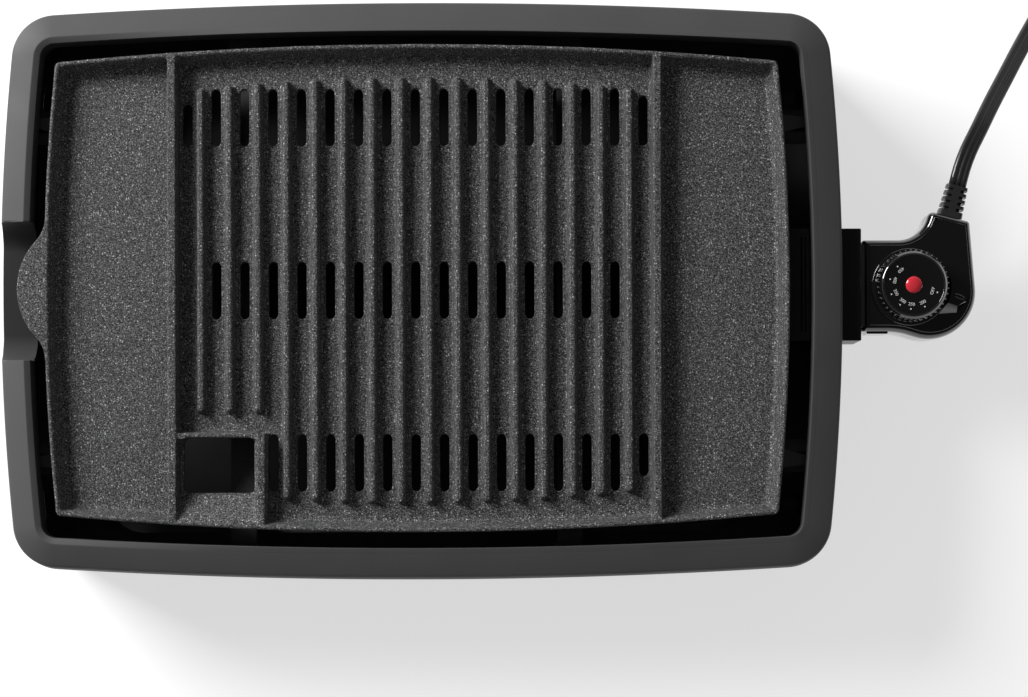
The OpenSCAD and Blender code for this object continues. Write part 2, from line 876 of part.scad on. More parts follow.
module terminal_block() at_socket() color([0.07, 0.07, 0.07]) difference() {
    union() {
        translate([-block_length, -block_half, block_low])
            cube([block_length, 2 * block_half, block_high - block_low]);
        translate([ear_x, -ear_reach, ear_low]) cube([ear_thickness, 2 * ear_reach, ear_high - ear_low]);
        translate([block_rib_x, block_rib_end - block_half, block_high - cut_extra])
            cube([block_rib_width, 2 * (block_half - block_rib_end), block_rib_height + cut_extra]);
    }
    translate([block_back - block_length, -cavity_half, cavity_low])
        cube([block_length, 2 * cavity_half, cavity_high - cavity_low]);
    for (y = [-1, 1]) {
        translate([-block_length - cut_extra, y * pin_half, pin_level]) rotate([0, 90, 0])
            cylinder(r = pin_radius + press_gap, h = block_back + 2 * cut_extra, $fn = small_arc);
        translate([ear_x - cut_extra, y * ear_hole, pin_level]) rotate([0, 90, 0])
            cylinder(r = screw_radius + screw_play, h = ear_thickness + 2 * cut_extra, $fn = screw_arc);
    }
    translate([-block_length - cut_extra, 0, pin_level]) rotate([0, 90, 0])
        cylinder(r = rod_radius + rod_play, h = block_back + 2 * cut_extra, $fn = small_arc);
}

module terminal_block_screws() at_socket() color([0.7, 0.7, 0.72]) {
    for (y = [-1, 1]) translate([ear_x, y * ear_hole, pin_level]) rotate([0, 90, 0])
        screw(screw_radius, screw_head, screw_head_height, ear_screw_length);
}

module terminal_pin(side) at_socket() color([0.75, 0.75, 0.76]) {
    start = lead_end - socket_face;
    translate([start, side * pin_half, pin_level]) rotate([0, 90, 0])
        rotate_extrude($fn = small_arc)
            polygon([
                [0, 0],
                [pin_radius, 0],
                [pin_radius, pin_tip - start - pin_edge],
                [pin_radius - pin_edge, pin_tip - start],
                [0, pin_tip - start]
            ]);
}

module terminal_pin_line() terminal_pin(1);

module terminal_pin_neutral() terminal_pin(-1);

module earth_strip() at_socket() color([0.72, 0.72, 0.74]) {
    translate([block_back - block_length, -earth_half, cavity_low])
        cube([earth_length, 2 * earth_half, earth_thickness]);
}

// a long raised bar along Y with sloping sides
module plate_bar(x, low, high, crest, foot, height) {
    translate([x, high, plate_level - cut_extra]) rotate([90, 0, 0])
        linear_extrude(high - low)
            polygon([
                [-foot, 0],
                [foot, 0],
                [foot, cut_extra],
                [crest, height + cut_extra],
                [-crest, height + cut_extra],
                [-foot, cut_extra]
            ]);
}

module rib(x, low, high) {
    crest = rib_crest / 2;
    section = [
        [0, 0],
        [rib_foot, 0],
        [rib_foot, cut_extra],
        [crest + rib_edge_spread, rib_height + cut_extra - rib_edge_drop],
        [crest - rib_edge, rib_height + cut_extra],
        [0, rib_height + cut_extra]
    ];
    translate([x, 0, plate_level - cut_extra]) {
        translate([0, high, 0]) rotate([90, 0, 0]) linear_extrude(high - low)
            polygon(concat(section, [for (i = [4:-1:1]) [-section[i][0], section[i][1]]]));
        translate([0, high, 0]) rotate_extrude(angle = 180, $fn = screw_arc) polygon(section);
        translate([0, low, 0]) rotate(180) rotate_extrude(angle = 180, $fn = screw_arc) polygon(section);
    }
}

module all_ribs() {
    for (k = [0:rib_count - 1]) {
        x = grill_x + (k - (rib_count - 1) / 2) * rib_pitch;
        reach = rib_reach - rib_foot - (x - grill_x) * (x - grill_x) / (2 * rib_bow);
        rib(x, k < rib_short_count ? rib_short_end + rib_foot : -tenth(reach), tenth(reach));
    }
}

// drip slots in three rows between the ribs; the rows' outer ends follow the bow
module all_slots() {
    for (k = [0:rib_count]) {
        x = grill_x + (k - rib_count / 2) * rib_pitch;
        end_cut = (k == 0 || k == rib_count) ? slot_bow : 0;
        translate([x, slot_y, plate_under - cut_extra]) linear_extrude(plate_floor + plate_depth / 2) {
            polygon(slot_points(slot_width / 2, slot_row - slot_length / 2,
                slot_row + slot_length / 2 - (k == 0 ? end_cut : end_cut / 2)));
            if (k > 0 && k < rib_count)
                polygon(slot_points(slot_width / 2, -slot_length / 2, slot_length / 2));
            if (k >= rib_short_count)
                polygon(slot_points(slot_width / 2, -slot_row - slot_length / 2 + end_cut,
                    slot_length / 2 - slot_row));
        }
    }
}

// the raised walls round the pouring hole and the ramp in front of it
module hole_frame() {
    left = grill_x - divider_offset;
    right = hole_left + hole_length;
    front = hole_back - hole_width;
    translate([left, 0, 0]) rotate([90, 0, 90]) linear_extrude(right - left + frame_right / 2)
        polygon([
            [hole_back - cut_extra, plate_level - cut_extra],
            [hole_back + frame_back + frame_foot, plate_level - cut_extra],
            [hole_back + frame_back + frame_foot, plate_level],
            [hole_back + frame_back, plate_top - frame_back_drop],
            [hole_back - cut_extra, plate_top - frame_back_drop]
        ]);
    translate([0, hole_back + frame_back, 0]) rotate([90, 0, 0])
        linear_extrude(plate_half_width + hole_back + frame_back)
            polygon([
                [right + frame_lap, plate_level - cut_extra],
                [right + frame_right + frame_bevel + frame_foot, plate_level - cut_extra],
                [right + frame_right + frame_bevel + frame_foot, plate_level],
                [right + frame_right + frame_bevel, plate_top - frame_drop],
                [right + frame_bevel, plate_top - frame_drop],
                [right, plate_top - frame_bevel_drop],
                [right, plate_level]
            ]);
    translate([left, 0, 0]) rotate([90, 0, 90]) linear_extrude(right - left + frame_right)
        polygon([
            [front + cut_extra, plate_level - cut_extra],
            [front, plate_level],
            [front - ramp_reach, plate_top - frame_drop],
            [front - 2 * ramp_reach, plate_top - frame_drop],
            [front - 2 * ramp_reach, plate_level - cut_extra]
        ]);
}

// the lift tab: a round tongue that runs out into the plate's left lip
module lift_tab() {
    edge = tab_lip - plate_half_length;
    tip_x = tab_radius - plate_half_length - tab_reach;
    run_x = edge - tab_blend - tab_run_out;
    run_y = sqrt(pow(tab_radius + tab_run_out, 2) - pow(tip_x - run_x, 2));
    turn = atan2(run_y, tip_x - run_x);
    translate([0, 0, plate_top - tab_thickness]) linear_extrude(tab_thickness)
        polygon(concat(
            [[edge + tab_root, run_y]],
            arc_points(run_x, run_y, tab_run_out, 0, -turn, 6),
            arc_points(tip_x, 0, tab_radius, 180 - turn, 180 + turn, 12),
            arc_points(run_x, -run_y, tab_run_out, turn, 0, 6),
            [[edge + tab_root, -run_y]]
        ));
}

module grill_plate() placed() color([0.16, 0.16, 0.165]) difference() {
    union() {
        at_plate() {
            difference() {
                loft([
                    raised(plate_outline(-under_inset, plate_corner_cut), plate_under),
                    raised(plate_outline(-under_edge, plate_corner_cut),
                        plate_top - lip_edge - under_edge_drop),
                    raised(plate_outline(0, plate_corner_cut), plate_top - lip_edge),
                    raised(plate_outline(0, plate_corner_cut), plate_top - lip_round),
                    raised(plate_outline(-lip_round, plate_corner_cut), plate_top)
                ], [0, 0]);
                difference() {
                    loft([
                        raised(plate_outline(-cavity_foot, cavity_corner_cut), plate_level),
                        raised(plate_outline(-cavity_turn, cavity_corner_cut),
                            plate_level + cavity_turn_rise),
                        raised(plate_outline(-cavity_side, cavity_corner_cut),
                            plate_level + cavity_side_rise),
                        raised(plate_outline(-lip_slope, cavity_corner_cut), plate_top - lip_round),
                        raised(plate_outline(-lip_width, cavity_corner_cut), plate_top),
                        raised(plate_outline(-lip_width, cavity_corner_cut), plate_top + through_extra)
                    ], [0, 0]);
                    translate([-plate_x, -plate_y, 0]) {
                        all_ribs();
                        for (side = [-1, 1])
                            plate_bar(grill_x + side * divider_offset, -plate_half_width, plate_half_width,
                                divider_crest, divider_foot, plate_depth);
                        hole_frame();
                    }
                }
            }
            lift_tab();
            for (x = [-1, 1]) for (y = [-1, 1])
                translate([x * leg_x, y * leg_y, pad_top])
                    cylinder(r = leg_radius, h = plate_under - pad_top + cut_extra, $fn = small_arc);
        }
        translate([socket_face - sensor_reach - sensor_length / 2, socket_y - sensor_half,
                pin_level + rod_radius + seat_gap])
            cube([sensor_length, 2 * sensor_half, plate_under - pin_level - rod_radius]);
    }
    all_slots();
    translate([hole_left + hole_length / 2, hole_back - hole_width / 2, plate_under - cut_extra])
        linear_extrude(plate_depth + plate_floor + through_extra)
            polygon(rounded_rectangle(hole_length / 2, hole_width / 2, hole_round, 4));
}

// an upright box centred on x and y
module post(x, y, half_x, half_y, low, high) {
    translate([x - half_x, y - half_y, low]) cube([2 * half_x, 2 * half_y, high - low]);
}

module nose_opening() {
    post((nose_back - 1) / 2, 0, nose_back, nose_half + press_gap,
        nose_low - press_gap, nose_high + press_gap);
}

module relief_place() {
    translate([relief_x, relief_y, control_split]) rotate(relief_angle) children();
}

module relief_opening() {
    half_x = relief_neck[0] + relief_play;
    half_z = relief_neck[1] + relief_play;
    relief_place() translate([-half_x, -control_skin - 1, -half_z])
        cube([2 * half_x, control_skin + 4, 2 * half_z]);
}

// raised pointer beside the dial
module dial_pointer() {
    translate([0, 0, control_high - pointer_sink]) linear_extrude(pointer_sink + pointer_rise)
        polygon(concat(
            arc_points(dial_x, dial_y, skirt_radius + pointer_gap, -40, 10, 5),
            [[50.9, -0.1], [56.1, -2.2], [57.6, -6.3], [56.1, -12.3], [50.9, -16.7]]
        ));
}

module control_body_upper() at_socket() color([0.03, 0.03, 0.03]) {
    difference() {
        union() {
            difference() {
                loft([
                    raised(control_outline(0), control_split),
                    raised(control_outline(shoulder_start), control_high - shoulder_depth),
                    raised(control_outline(0.6), control_high - 3),
                    raised(control_outline(1.4), control_high - 1.4),
                    raised(control_outline(2.3), control_high - 0.4),
                    raised(control_outline(shoulder_inset), control_high)
                ], control_centre);
                loft([
                    raised(control_outline(control_skin), control_split - inner_lap),
                    raised(control_outline(control_skin), control_high - shoulder_depth - inner_lap),
                    raised(control_outline(control_skin + inner_shoulder), control_high - control_skin)
                ], control_centre);
            }
            dial_pointer();
            for (p = control_screws_at)
                translate([p[0], p[1], control_split])
                    cylinder(r = control_post_radius, h = control_high - control_split - 1, $fn = small_arc);
        }
        nose_opening();
        relief_opening();
        translate([dial_x, dial_y, control_split])
            cylinder(r = shaft_radius + shaft_play, h = 2 * (control_high - control_split), $fn = middle_arc);
        for (p = control_screws_at)
            translate([p[0], p[1], control_split - cut_extra])
                cylinder(r = control_screw_radius + press_gap, h = control_bore_depth, $fn = screw_arc);
    }
}

module control_body_lower() at_socket() color([0.04, 0.04, 0.04]) {
    difference() {
        union() {
            difference() {
                loft([
                    raised(control_outline(base_inset), control_low),
                    raised(control_outline(1.2), control_low + 1),
                    raised(control_outline(base_start), control_low + base_edge_depth),
                    raised(control_outline(0), control_split)
                ], control_centre);
                loft([
                    raised(control_outline(control_skin + inner_base), control_low + control_skin),
                    raised(control_outline(control_skin), control_low + inner_base_rise),
                    raised(control_outline(control_skin), control_split + inner_lap)
                ], control_centre);
            }
            post(latch_at[0], latch_at[1], latch_half[0], latch_half[1],
                control_low + latch_rise, control_low + latch_rise + latch_height);
            for (p = control_screws_at)
                translate([p[0], p[1], control_low + 1])
                    cylinder(r = control_post_radius, h = control_split - control_low - 1, $fn = small_arc);
        }
        nose_opening();
        relief_opening();
        for (p = control_screws_at) translate([p[0], p[1], control_low]) {
            translate([0, 0, -cut_extra])
                cylinder(r = control_screw_head + control_head_play, h = control_screw_seat + cut_extra,
                    $fn = screw_arc);
            cylinder(r = control_screw_radius + screw_play, h = control_split, $fn = screw_arc);
        }
    }
}

module control_screws() at_socket() color([0.6, 0.6, 0.62]) {
    for (p = control_screws_at) translate([p[0], p[1], control_low + control_screw_seat])
        screw(control_screw_radius, control_screw_head, control_screw_head_height, control_screw_length);
}

module control_nose() at_socket() color([0.08, 0.08, 0.08]) difference() {
    post((nose_front + nose_back) / 2, 0, (nose_back - nose_front) / 2, nose_half, nose_low, nose_high);
    for (y = [-1, 1])
        translate([nose_front - cut_extra, y * pin_half, pin_level]) rotate([0, 90, 0])
            cylinder(r = tube_radius + press_gap, h = nose_bore, $fn = small_arc);
    translate([nose_front - cut_extra, 0, pin_level]) rotate([0, 90, 0])
        cylinder(r = rod_radius + press_gap, h = nose_bore, $fn = small_arc);
    post(earth_slot_x, 0, earth_slot_half, earth_half + earth_slot_play, nose_low - cut_extra,
        nose_low + earth_slot_depth);
}

module contact(side) at_socket() color([0.8, 0.62, 0.3]) {
    translate([tube_front, side * pin_half, pin_level]) rotate([0, 90, 0])
        rotate_extrude($fn = small_arc)
            polygon([
                [pin_radius + contact_play, 0],
                [tube_radius, 0],
                [tube_radius, tube_back - tube_front],
                [0, tube_back - tube_front],
                [0, pin_tip - tube_front + contact_bottom],
                [pin_radius + contact_play, pin_tip - tube_front + contact_bottom]
            ]);
}

module contact_line() contact(1);

module contact_neutral() contact(-1);

module earth_leaf() at_socket() color([0.74, 0.74, 0.76]) {
    post(leaf_x, 0, leaf_half, earth_half - earth_slot_play, cavity_low + earth_thickness + press_gap,
        nose_low + earth_slot_depth - leaf_play);
}

module sensing_rod() at_socket() color([0.7, 0.71, 0.72]) {
    translate([rod_tip, 0, pin_level]) rotate([0, 90, 0])
        rotate_extrude($fn = small_arc)
            polygon([
                [0, 0],
                [rod_radius - rod_edge, 0],
                [rod_radius, rod_edge],
                [rod_radius, rod_back - rod_tip],
                [0, rod_back - rod_tip]
            ]);
}

module thermostat_block() at_socket() color([0.86, 0.84, 0.78]) {
    post(dial_x, dial_y, thermostat_half[0], thermostat_half[1], control_low + control_skin, thermostat_top);
}

module thermostat_springs() at_socket() color([0.8, 0.62, 0.3]) {
    for (y = [-1, 1]) {
        post(dial_x, dial_y + y * spring_y, spring_half[0], spring_half[1], thermostat_top,
            thermostat_top + spring_thickness);
        translate([dial_x + spring_tip_x, dial_y + y * spring_y, thermostat_top + spring_thickness])
            cylinder(r = spring_tip_radius, h = spring_tip_height, $fn = screw_arc);
    }
}

module neon_lamp() at_socket() color([0.9, 0.45, 0.3]) {
    translate([dial_x, dial_y, thermostat_top]) rotate_extrude($fn = screw_arc)
        polygon([
            [0, 0],
            [lamp_radius, 0],
            [lamp_radius, lamp_side],
            [lamp_radius - lamp_round, lamp_height - lamp_tip],
            [0, lamp_height]
        ]);
}

module strain_relief() at_socket() color([0.06, 0.06, 0.06]) relief_place() difference() {
    union() {
        rotate([-90, 0, 0]) loft([
            raised(rounded_rectangle(relief_big[0], relief_big[1], relief_round, 3), 0),
            raised(rounded_rectangle(relief_small[0], relief_small[1], relief_round, 3), relief_length)
        ], [0, 0]);
        translate([-relief_neck[0], -control_skin - 1, -relief_neck[1]])
            cube([2 * relief_neck[0], control_skin + neck_lap, 2 * relief_neck[1]]);
        translate([-relief_flange[0], -control_skin - relief_flange_back, -relief_flange[1]])
            cube([2 * relief_flange[0], relief_flange_depth, 2 * relief_flange[1]]);
    }
    for (k = [1:relief_grooves]) translate([0, k * groove_pitch + groove_start, 0])
        difference() {
            cube([20, groove_width, 14], center = true);
            cube([groove_core[0], 2, groove_core[1]], center = true);
            cube([groove_web, 2, 15], center = true);
        }
}

// section of the flat cord: three cores side by side, [across, up] in parts of half its width and thickness
cord_section = [
    [1, 0], [0.7, 0.95], [0.3, 0.75], [0, 1], [-0.3, 0.75], [-0.7, 0.95],
    [-1, 0], [-0.7, -0.95], [-0.3, -0.75], [0, -1], [0.3, -0.75], [0.7, -0.95]
];

// one ring of the flat cord at a point of its route
function cord_ring(route, k) = let (
    ahead = route[min(k + 1, len(route) - 1)] - route[max(k - 1, 0)],
    side = cross_unit(ahead, [0, 0, 1]),
    up = cross_unit(side, ahead)
) [for (s = cord_section) route[k] + side * s[0] * cord_width / 2 + up * s[1] * cord_thickness / 2];

module cord_tube(route) {
    skin([for (k = [0:len(route) - 1]) cord_ring(route, k)], [route[0], route[len(route) - 1]]);
}

module power_cord() at_socket() color([0.12, 0.12, 0.12]) {
    cord_tube(cord_route);
    cord_tube(tail_route);
}

// outline of stacked turns of the flat cord, from one height to another
module coil_section(low, high) {
    w = cord_width / 2;
    translate([coil_radius, 0])
        polygon([
            [w - coil_edge, low], [w, low + coil_edge], [w, high - coil_edge], [w - coil_edge, high],
            [coil_edge - w, high], [-w, high - coil_edge], [-w, low + coil_edge], [coil_edge - w, low]
        ]);
}

module power_cord_coil() at_socket() color([0.12, 0.12, 0.12]) {
    height = coil_layers * cord_thickness;
    translate([coil_centre[0], coil_centre[1], coil_bottom]) {
        rotate_extrude($fn = middle_arc) coil_section(0, height);
        rotate_extrude(angle = coil_top_turn, $fn = middle_arc)
            coil_section(height - coil_lap, height + cord_thickness);
    }
}

module cord_tie() at_socket() color([0.1, 0.1, 0.1]) {
    half_x = cord_width / 2 + tie_side_gap;
    high = coil_bottom + coil_layers * cord_thickness + tie_top_gap;
    translate([coil_centre[0], coil_centre[1], 0]) rotate(tie_angle) translate([coil_radius, 0, 0])
        difference() {
            post(0, 0, half_x + tie_skin, tie_half, 0, high + tie_skin);
            post(0, 0, half_x, tie_half + cut_extra, coil_bottom - tie_under_gap, high);
        }
}

module plug_body() at_socket() color([0.1, 0.1, 0.1]) {
    front = plug_back - plug_boot - plug_length;
    difference() {
        union() {
            translate([plug_x, plug_back, plug_level]) rotate([90, 0, 0]) loft([
                raised(rounded_rectangle(boot_small[0], boot_small[1], plug_round / 2, 3), 0),
                raised(rounded_rectangle(boot_big[0], boot_big[1], 3 * plug_round / 4, 3), plug_boot)
            ], [0, 0]);
            translate([plug_x, plug_back - plug_boot, plug_level]) rotate([90, 0, 0]) loft([
                raised(rounded_rectangle(plug_face[0] - plug_shoulder, plug_face[1] - plug_shoulder,
                    plug_round, 3), 0),
                raised(rounded_rectangle(plug_face[0], plug_face[1], plug_round, 3), plug_shoulder_length),
                raised(rounded_rectangle(plug_face[0], plug_face[1], plug_round, 3), plug_length)
            ], [0, 0]);
        }
        for (x = [-1, 1])
            post(plug_x + x * blade_gap, front + blade_seat, blade_half + press_gap, blade_socket,
                plug_level + blade_low - press_gap, plug_level + blade_high + press_gap);
        translate([plug_x, front + earth_pin_seat, plug_level - earth_pin_drop]) rotate([90, 0, 0])
            cylinder(r = earth_pin_radius + press_gap, h = earth_pin_bore, $fn = small_arc);
    }
}

module plug_blade(side) at_socket() color([0.82, 0.7, 0.42]) {
    front = plug_back - plug_boot - plug_length;
    post(plug_x + side * blade_gap, front + blade_seat - blade_length / 2 + blade_root, blade_half,
        blade_length / 2 + blade_root, plug_level + blade_low, plug_level + blade_high);
}

module plug_blade_line() plug_blade(1);

module plug_blade_neutral() plug_blade(-1);

module plug_earth_pin() at_socket() color([0.82, 0.7, 0.42]) {
    front = plug_back - plug_boot - plug_length;
    translate([plug_x, front + earth_pin_seat, plug_level - earth_pin_drop]) rotate([90, 0, 0])
        rotate_extrude($fn = small_arc)
            polygon([
                [0, 0],
                [earth_pin_radius, 0],
                [earth_pin_radius, earth_pin_length - earth_pin_point],
                [earth_pin_tip, earth_pin_length],
                [0, earth_pin_length]
            ]);
}

module dial() at_socket() color([0.04, 0.04, 0.04]) {
    low = control_high + dial_gap;
    top = control_high + dial_height;
    translate([dial_x, dial_y, 0]) difference() {
        union() {
            rotate_extrude($fn = middle_arc)
                polygon([
                    [0, low],
                    [skirt_radius, low],
                    [skirt_radius, low + skirt_edge],
                    [dial_radius + 2 * knob_draft, low + skirt_rise],
                    [dial_radius + knob_draft, top - 4 * dial_step],
                    [dial_radius, top - dial_step],
                    [dial_radius - dial_lip_out, top],
                    [dial_radius - dial_lip_in, top],
                    [dial_radius - dial_ring, top - dial_step],
                    [0, top - dial_step]
                ]);
            translate([0, 0, low + knurl_rise])
                linear_extrude(top - low - knurl_rise - knurl_drop)
                    polygon([
                        for (i = [0:2 * knurl_teeth - 1])
                            let (
                                r = dial_radius + (i % 2 == 0 ? knurl_high : knurl_low),
                                a = 180 * i / knurl_teeth
                            )
                            [r * cos(a), r * sin(a)]
                    ]);
        }
        translate([0, 0, low - cut_extra])
            cylinder(r = shaft_radius + press_gap, h = dial_height - lens_depth - dial_gap + cut_extra,
                $fn = middle_arc);
        translate([0, 0, low]) cylinder(r = lens_radius + press_gap, h = 2 * dial_height, $fn = middle_arc);
    }
}

module dial_shaft() at_socket() color([0.8, 0.8, 0.78]) {
    translate([dial_x, dial_y, shaft_low]) difference() {
        cylinder(r = shaft_radius, h = control_high + dial_height - lens_depth - shaft_low, $fn = middle_arc);
        translate([0, 0, -cut_extra]) cylinder(r = shaft_bore, h = 3 * dial_height, $fn = small_arc);
    }
}

module indicator_lens() at_socket() color([0.75, 0.05, 0.06]) {
    low = control_high + dial_height - lens_depth;
    translate([dial_x, dial_y, low]) rotate_extrude($fn = small_arc)
        polygon([
            [0, 0],
            [lens_radius, 0],
            [lens_radius, lens_depth - lens_edge],
            [lens_radius - 2 * lens_edge, lens_depth + lens_edge / 2],
            [lens_radius - 6 * lens_edge, lens_depth + lens_dome - lens_edge / 2],
            [0, lens_depth + lens_dome]
        ]);
}

base_housing();
foot_front_left();
foot_front_right();
foot_rear_left();
foot_rear_right();
foot_screws();
plate_pad_front_left();
plate_pad_front_right();
plate_pad_rear_left();
plate_pad_rear_right();
drip_tray();
heating_element();
element_bead_line();
element_bead_neutral();
element_bar_left();
element_bar_right();
element_bar_screws();
element_clips();
terminal_block();
terminal_block_screws();
terminal_pin_line();
terminal_pin_neutral();
earth_strip();
grill_plate();
control_body_upper();
control_body_lower();
control_screws();
control_nose();
contact_line();
contact_neutral();
earth_leaf();
sensing_rod();
thermostat_block();
thermostat_springs();
neon_lamp();
strain_relief();
power_cord();
power_cord_coil();
cord_tie();
plug_body();
plug_blade_line();
plug_blade_neutral();
plug_earth_pin();
dial();
dial_shaft();
indicator_lens();
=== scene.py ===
import bpy
import bmesh
import math
import json
from mathutils import Vector, Matrix


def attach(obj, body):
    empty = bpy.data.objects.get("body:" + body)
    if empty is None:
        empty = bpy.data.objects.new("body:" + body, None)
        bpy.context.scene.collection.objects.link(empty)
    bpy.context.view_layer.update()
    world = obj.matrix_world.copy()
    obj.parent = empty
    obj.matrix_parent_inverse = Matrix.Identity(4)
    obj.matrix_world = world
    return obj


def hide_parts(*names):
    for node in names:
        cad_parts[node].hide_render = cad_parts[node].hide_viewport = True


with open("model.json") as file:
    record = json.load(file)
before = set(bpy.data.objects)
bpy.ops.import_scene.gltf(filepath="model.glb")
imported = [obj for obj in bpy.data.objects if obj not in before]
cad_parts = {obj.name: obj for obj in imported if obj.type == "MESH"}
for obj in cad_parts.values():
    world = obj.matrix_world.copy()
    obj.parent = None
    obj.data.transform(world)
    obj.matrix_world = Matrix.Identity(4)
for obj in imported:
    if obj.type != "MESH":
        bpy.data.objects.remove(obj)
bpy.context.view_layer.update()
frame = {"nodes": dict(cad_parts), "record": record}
nodes = frame["nodes"]
record = frame["record"]
scene = bpy.context.scene
scene.view_settings.view_transform = "Standard"

MM = 0.001
# the middle of the grill and its control, and the socket's mouth, seen from the base's middle
MIDDLE = 36.75
SOCKET = (238.5, 3.5)


def world_point(x, y, z):
    """A point from millimetres about the base's middle to metres in the frame."""
    return Vector(((x - MIDDLE) * MM, y * MM, z * MM))


def socket_point(x, y, z):
    """A point from millimetres about the socket's mouth to metres in the frame."""
    return world_point(x + SOCKET[0], y + SOCKET[1], z)


# ---------------------------------------------------------------- camera
# the picture's size, the focal length and the point straight below the camera, in its pixels
PICTURE = (1028, 697)
FOCAL_LENGTH = 2081.9
POINT_BELOW = (540, 500)
SENSOR_WIDTH = 36.0
CAMERA_PLACE = (63.5, -113.2, 1200)
CAMERA_ROLL = -0.15

camera_data = bpy.data.cameras.new("camera")
camera = bpy.data.objects.new("camera", camera_data)
scene.collection.objects.link(camera)
scene.camera = camera
camera_data.sensor_fit = "HORIZONTAL"
camera_data.sensor_width = SENSOR_WIDTH
camera_data.lens = SENSOR_WIDTH * FOCAL_LENGTH / PICTURE[0]
camera.location = world_point(*CAMERA_PLACE)
camera.rotation_euler = (0, 0, math.radians(CAMERA_ROLL))
camera_data.shift_x = (PICTURE[0] / 2 - POINT_BELOW[0]) / PICTURE[0]
camera_data.shift_y = (POINT_BELOW[1] - PICTURE[1] / 2) / PICTURE[0]
camera_data.clip_start = 0.05
camera_data.clip_end = 20


# ---------------------------------------------------------------- mesh helpers
def new_object(name, mesh, body):
    obj = bpy.data.objects.new(name, mesh)
    scene.collection.objects.link(obj)
    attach(obj, body)
    return obj


def mesh_from(name, verts, faces):
    mesh = bpy.data.meshes.new(name)
    mesh.from_pydata([tuple(v) for v in verts], [], faces)
    mesh.validate()
    mesh.update()
    return mesh


def smooth_all(mesh):
    for p in mesh.polygons:
        p.use_smooth = True


def smooth_by_angle(obj, degrees):
    """Smooth shading with sharp edges kept above an angle, for a mesh made here."""
    mesh = obj.data
    smooth_all(mesh)
    mesh.set_sharp_from_angle(angle=math.radians(degrees))


def stitch(rings, closed_rings=False):
    """Vertices and faces through rings that have the same number of points, with both ends capped."""
    count = len(rings[0])
    verts = [v for ring in rings for v in ring]
    faces = []
    last = len(rings) if closed_rings else len(rings) - 1
    for k in range(last):
        a, b = k * count, ((k + 1) % len(rings)) * count
        for i in range(count):
            j = (i + 1) % count
            faces.append((a + i, a + j, b + j, b + i))
    if not closed_rings:
        faces.append(tuple(range(count - 1, -1, -1)))
        faces.append(tuple(last * count + i for i in range(count)))
    return verts, faces


def sweep(name, path, section):
    """A tube with a flat section, its wide side level, along points in metres."""
    rings = []
    last = len(path) - 1
    for k, p in enumerate(path):
        ahead = (path[min(k + 1, last)] - path[max(k - 1, 0)]).normalized()
        side = ahead.cross(Vector((0, 0, 1))).normalized()
        up = side.cross(ahead).normalized()
        rings.append([p + side * a + up * b for a, b in section])
    mesh = mesh_from(name, *stitch(rings))
    smooth_all(mesh)
    return mesh


def catmull(points, step):
    """Points about a step apart on a smooth curve through the given points."""
    pts = [points[0] * 2 - points[1]] + list(points) + [points[-1] * 2 - points[-2]]
    out = []
    for i in range(1, len(pts) - 2):
        a, b, c, d = pts[i - 1:i + 3]
        n = max(1, round((c - b).length / step))
        for k in range(n):
            t = k / n
            out.append(0.5 * ((2 * b) + (c - a) * t + (2 * a - 5 * b + 4 * c - d) * t * t
                              + (3 * b - a - 3 * c + d) * t * t * t))
    out.append(points[-1].copy())
    return out


# ---------------------------------------------------------------- cord
CORD_WIDTH = 9.8
CORD_THICKNESS = 4.2
CORD_STEP = 5
# from the strain relief down to the table, and from the coil to the plug, about the socket's mouth
ROUTE = [(55.4, 55.6, 52), (58, 65.3, 52), (62, 75.5, 50.6), (69, 88.5, 46), (77.5, 104, 38.5),
         (87.5, 121, 29.5), (97.5, 138, 20.5), (108, 155, 12), (119, 172, 5.5), (130, 189, 2.8),
         (141, 206, 2.8)]
TAIL = [(240, 177, 11.1), (240, 163, 11.3), (240, 149, 12), (240, 136, 12)]
COIL_CENTRE = (186, 177)
COIL_RADIUS = 54
COIL_BOTTOM = 0.6
COIL_TURNS = 2
COIL_STEPS = 150
# the angles travelled at which the coil climbs onto itself, and how long each climb lasts
CLIMB_STARTS = (300, 660)
CLIMB_LENGTH = 60


def ease(t):
    """0 up to t = 0, 1 from t = 1, and a smooth rise between."""
    t = min(1.0, max(0.0, t))
    return t * t * (3 - 2 * t)


def cord_path():
    """The cord's middle line: the route down to the table, the coil and the tail to the plug."""
    route = catmull([socket_point(*p) for p in ROUTE], CORD_STEP * MM)
    start = math.degrees(math.atan2(ROUTE[-1][1] - COIL_CENTRE[1], ROUTE[-1][0] - COIL_CENTRE[0]))
    total = start + 360 * COIL_TURNS
    turns = []
    for k in range(1, COIL_STEPS):
        travelled = total * k / COIL_STEPS
        layer = sum(ease((travelled - at) / CLIMB_LENGTH) for at in CLIMB_STARTS)
        angle = math.radians(start - travelled)
        turns.append(socket_point(COIL_CENTRE[0] + COIL_RADIUS * math.cos(angle),
                                  COIL_CENTRE[1] + COIL_RADIUS * math.sin(angle),
                                  COIL_BOTTOM + CORD_THICKNESS * (0.5 + layer)))
    tail = catmull([socket_point(*p) for p in TAIL], CORD_STEP * MM)
    return route + turns + tail


def cord_section():
    """Three round cores side by side, in metres, anticlockwise."""
    pitch = (CORD_WIDTH - CORD_THICKNESS) / 2
    radius = CORD_THICKNESS / 2
    meet = math.degrees(math.acos(pitch / 2 / radius))
    arcs = [(pitch, meet - 180, 180 - meet, 12), (0, meet, 180 - meet, 5),
            (-pitch, meet, 360 - meet, 12), (0, 180 + meet, 360 - meet, 5)]
    out = []
    for x, first, last, n in arcs:
        for k in range(n):
            a = math.radians(first + (last - first) * k / n)
            out.append(((x + radius * math.cos(a)) * MM, radius * math.sin(a) * MM))
    return out


path = cord_path()
cord = new_object("flat_cord", sweep("flat_cord", path, cord_section()), "control")
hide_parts("power_cord", "power_cord_coil")


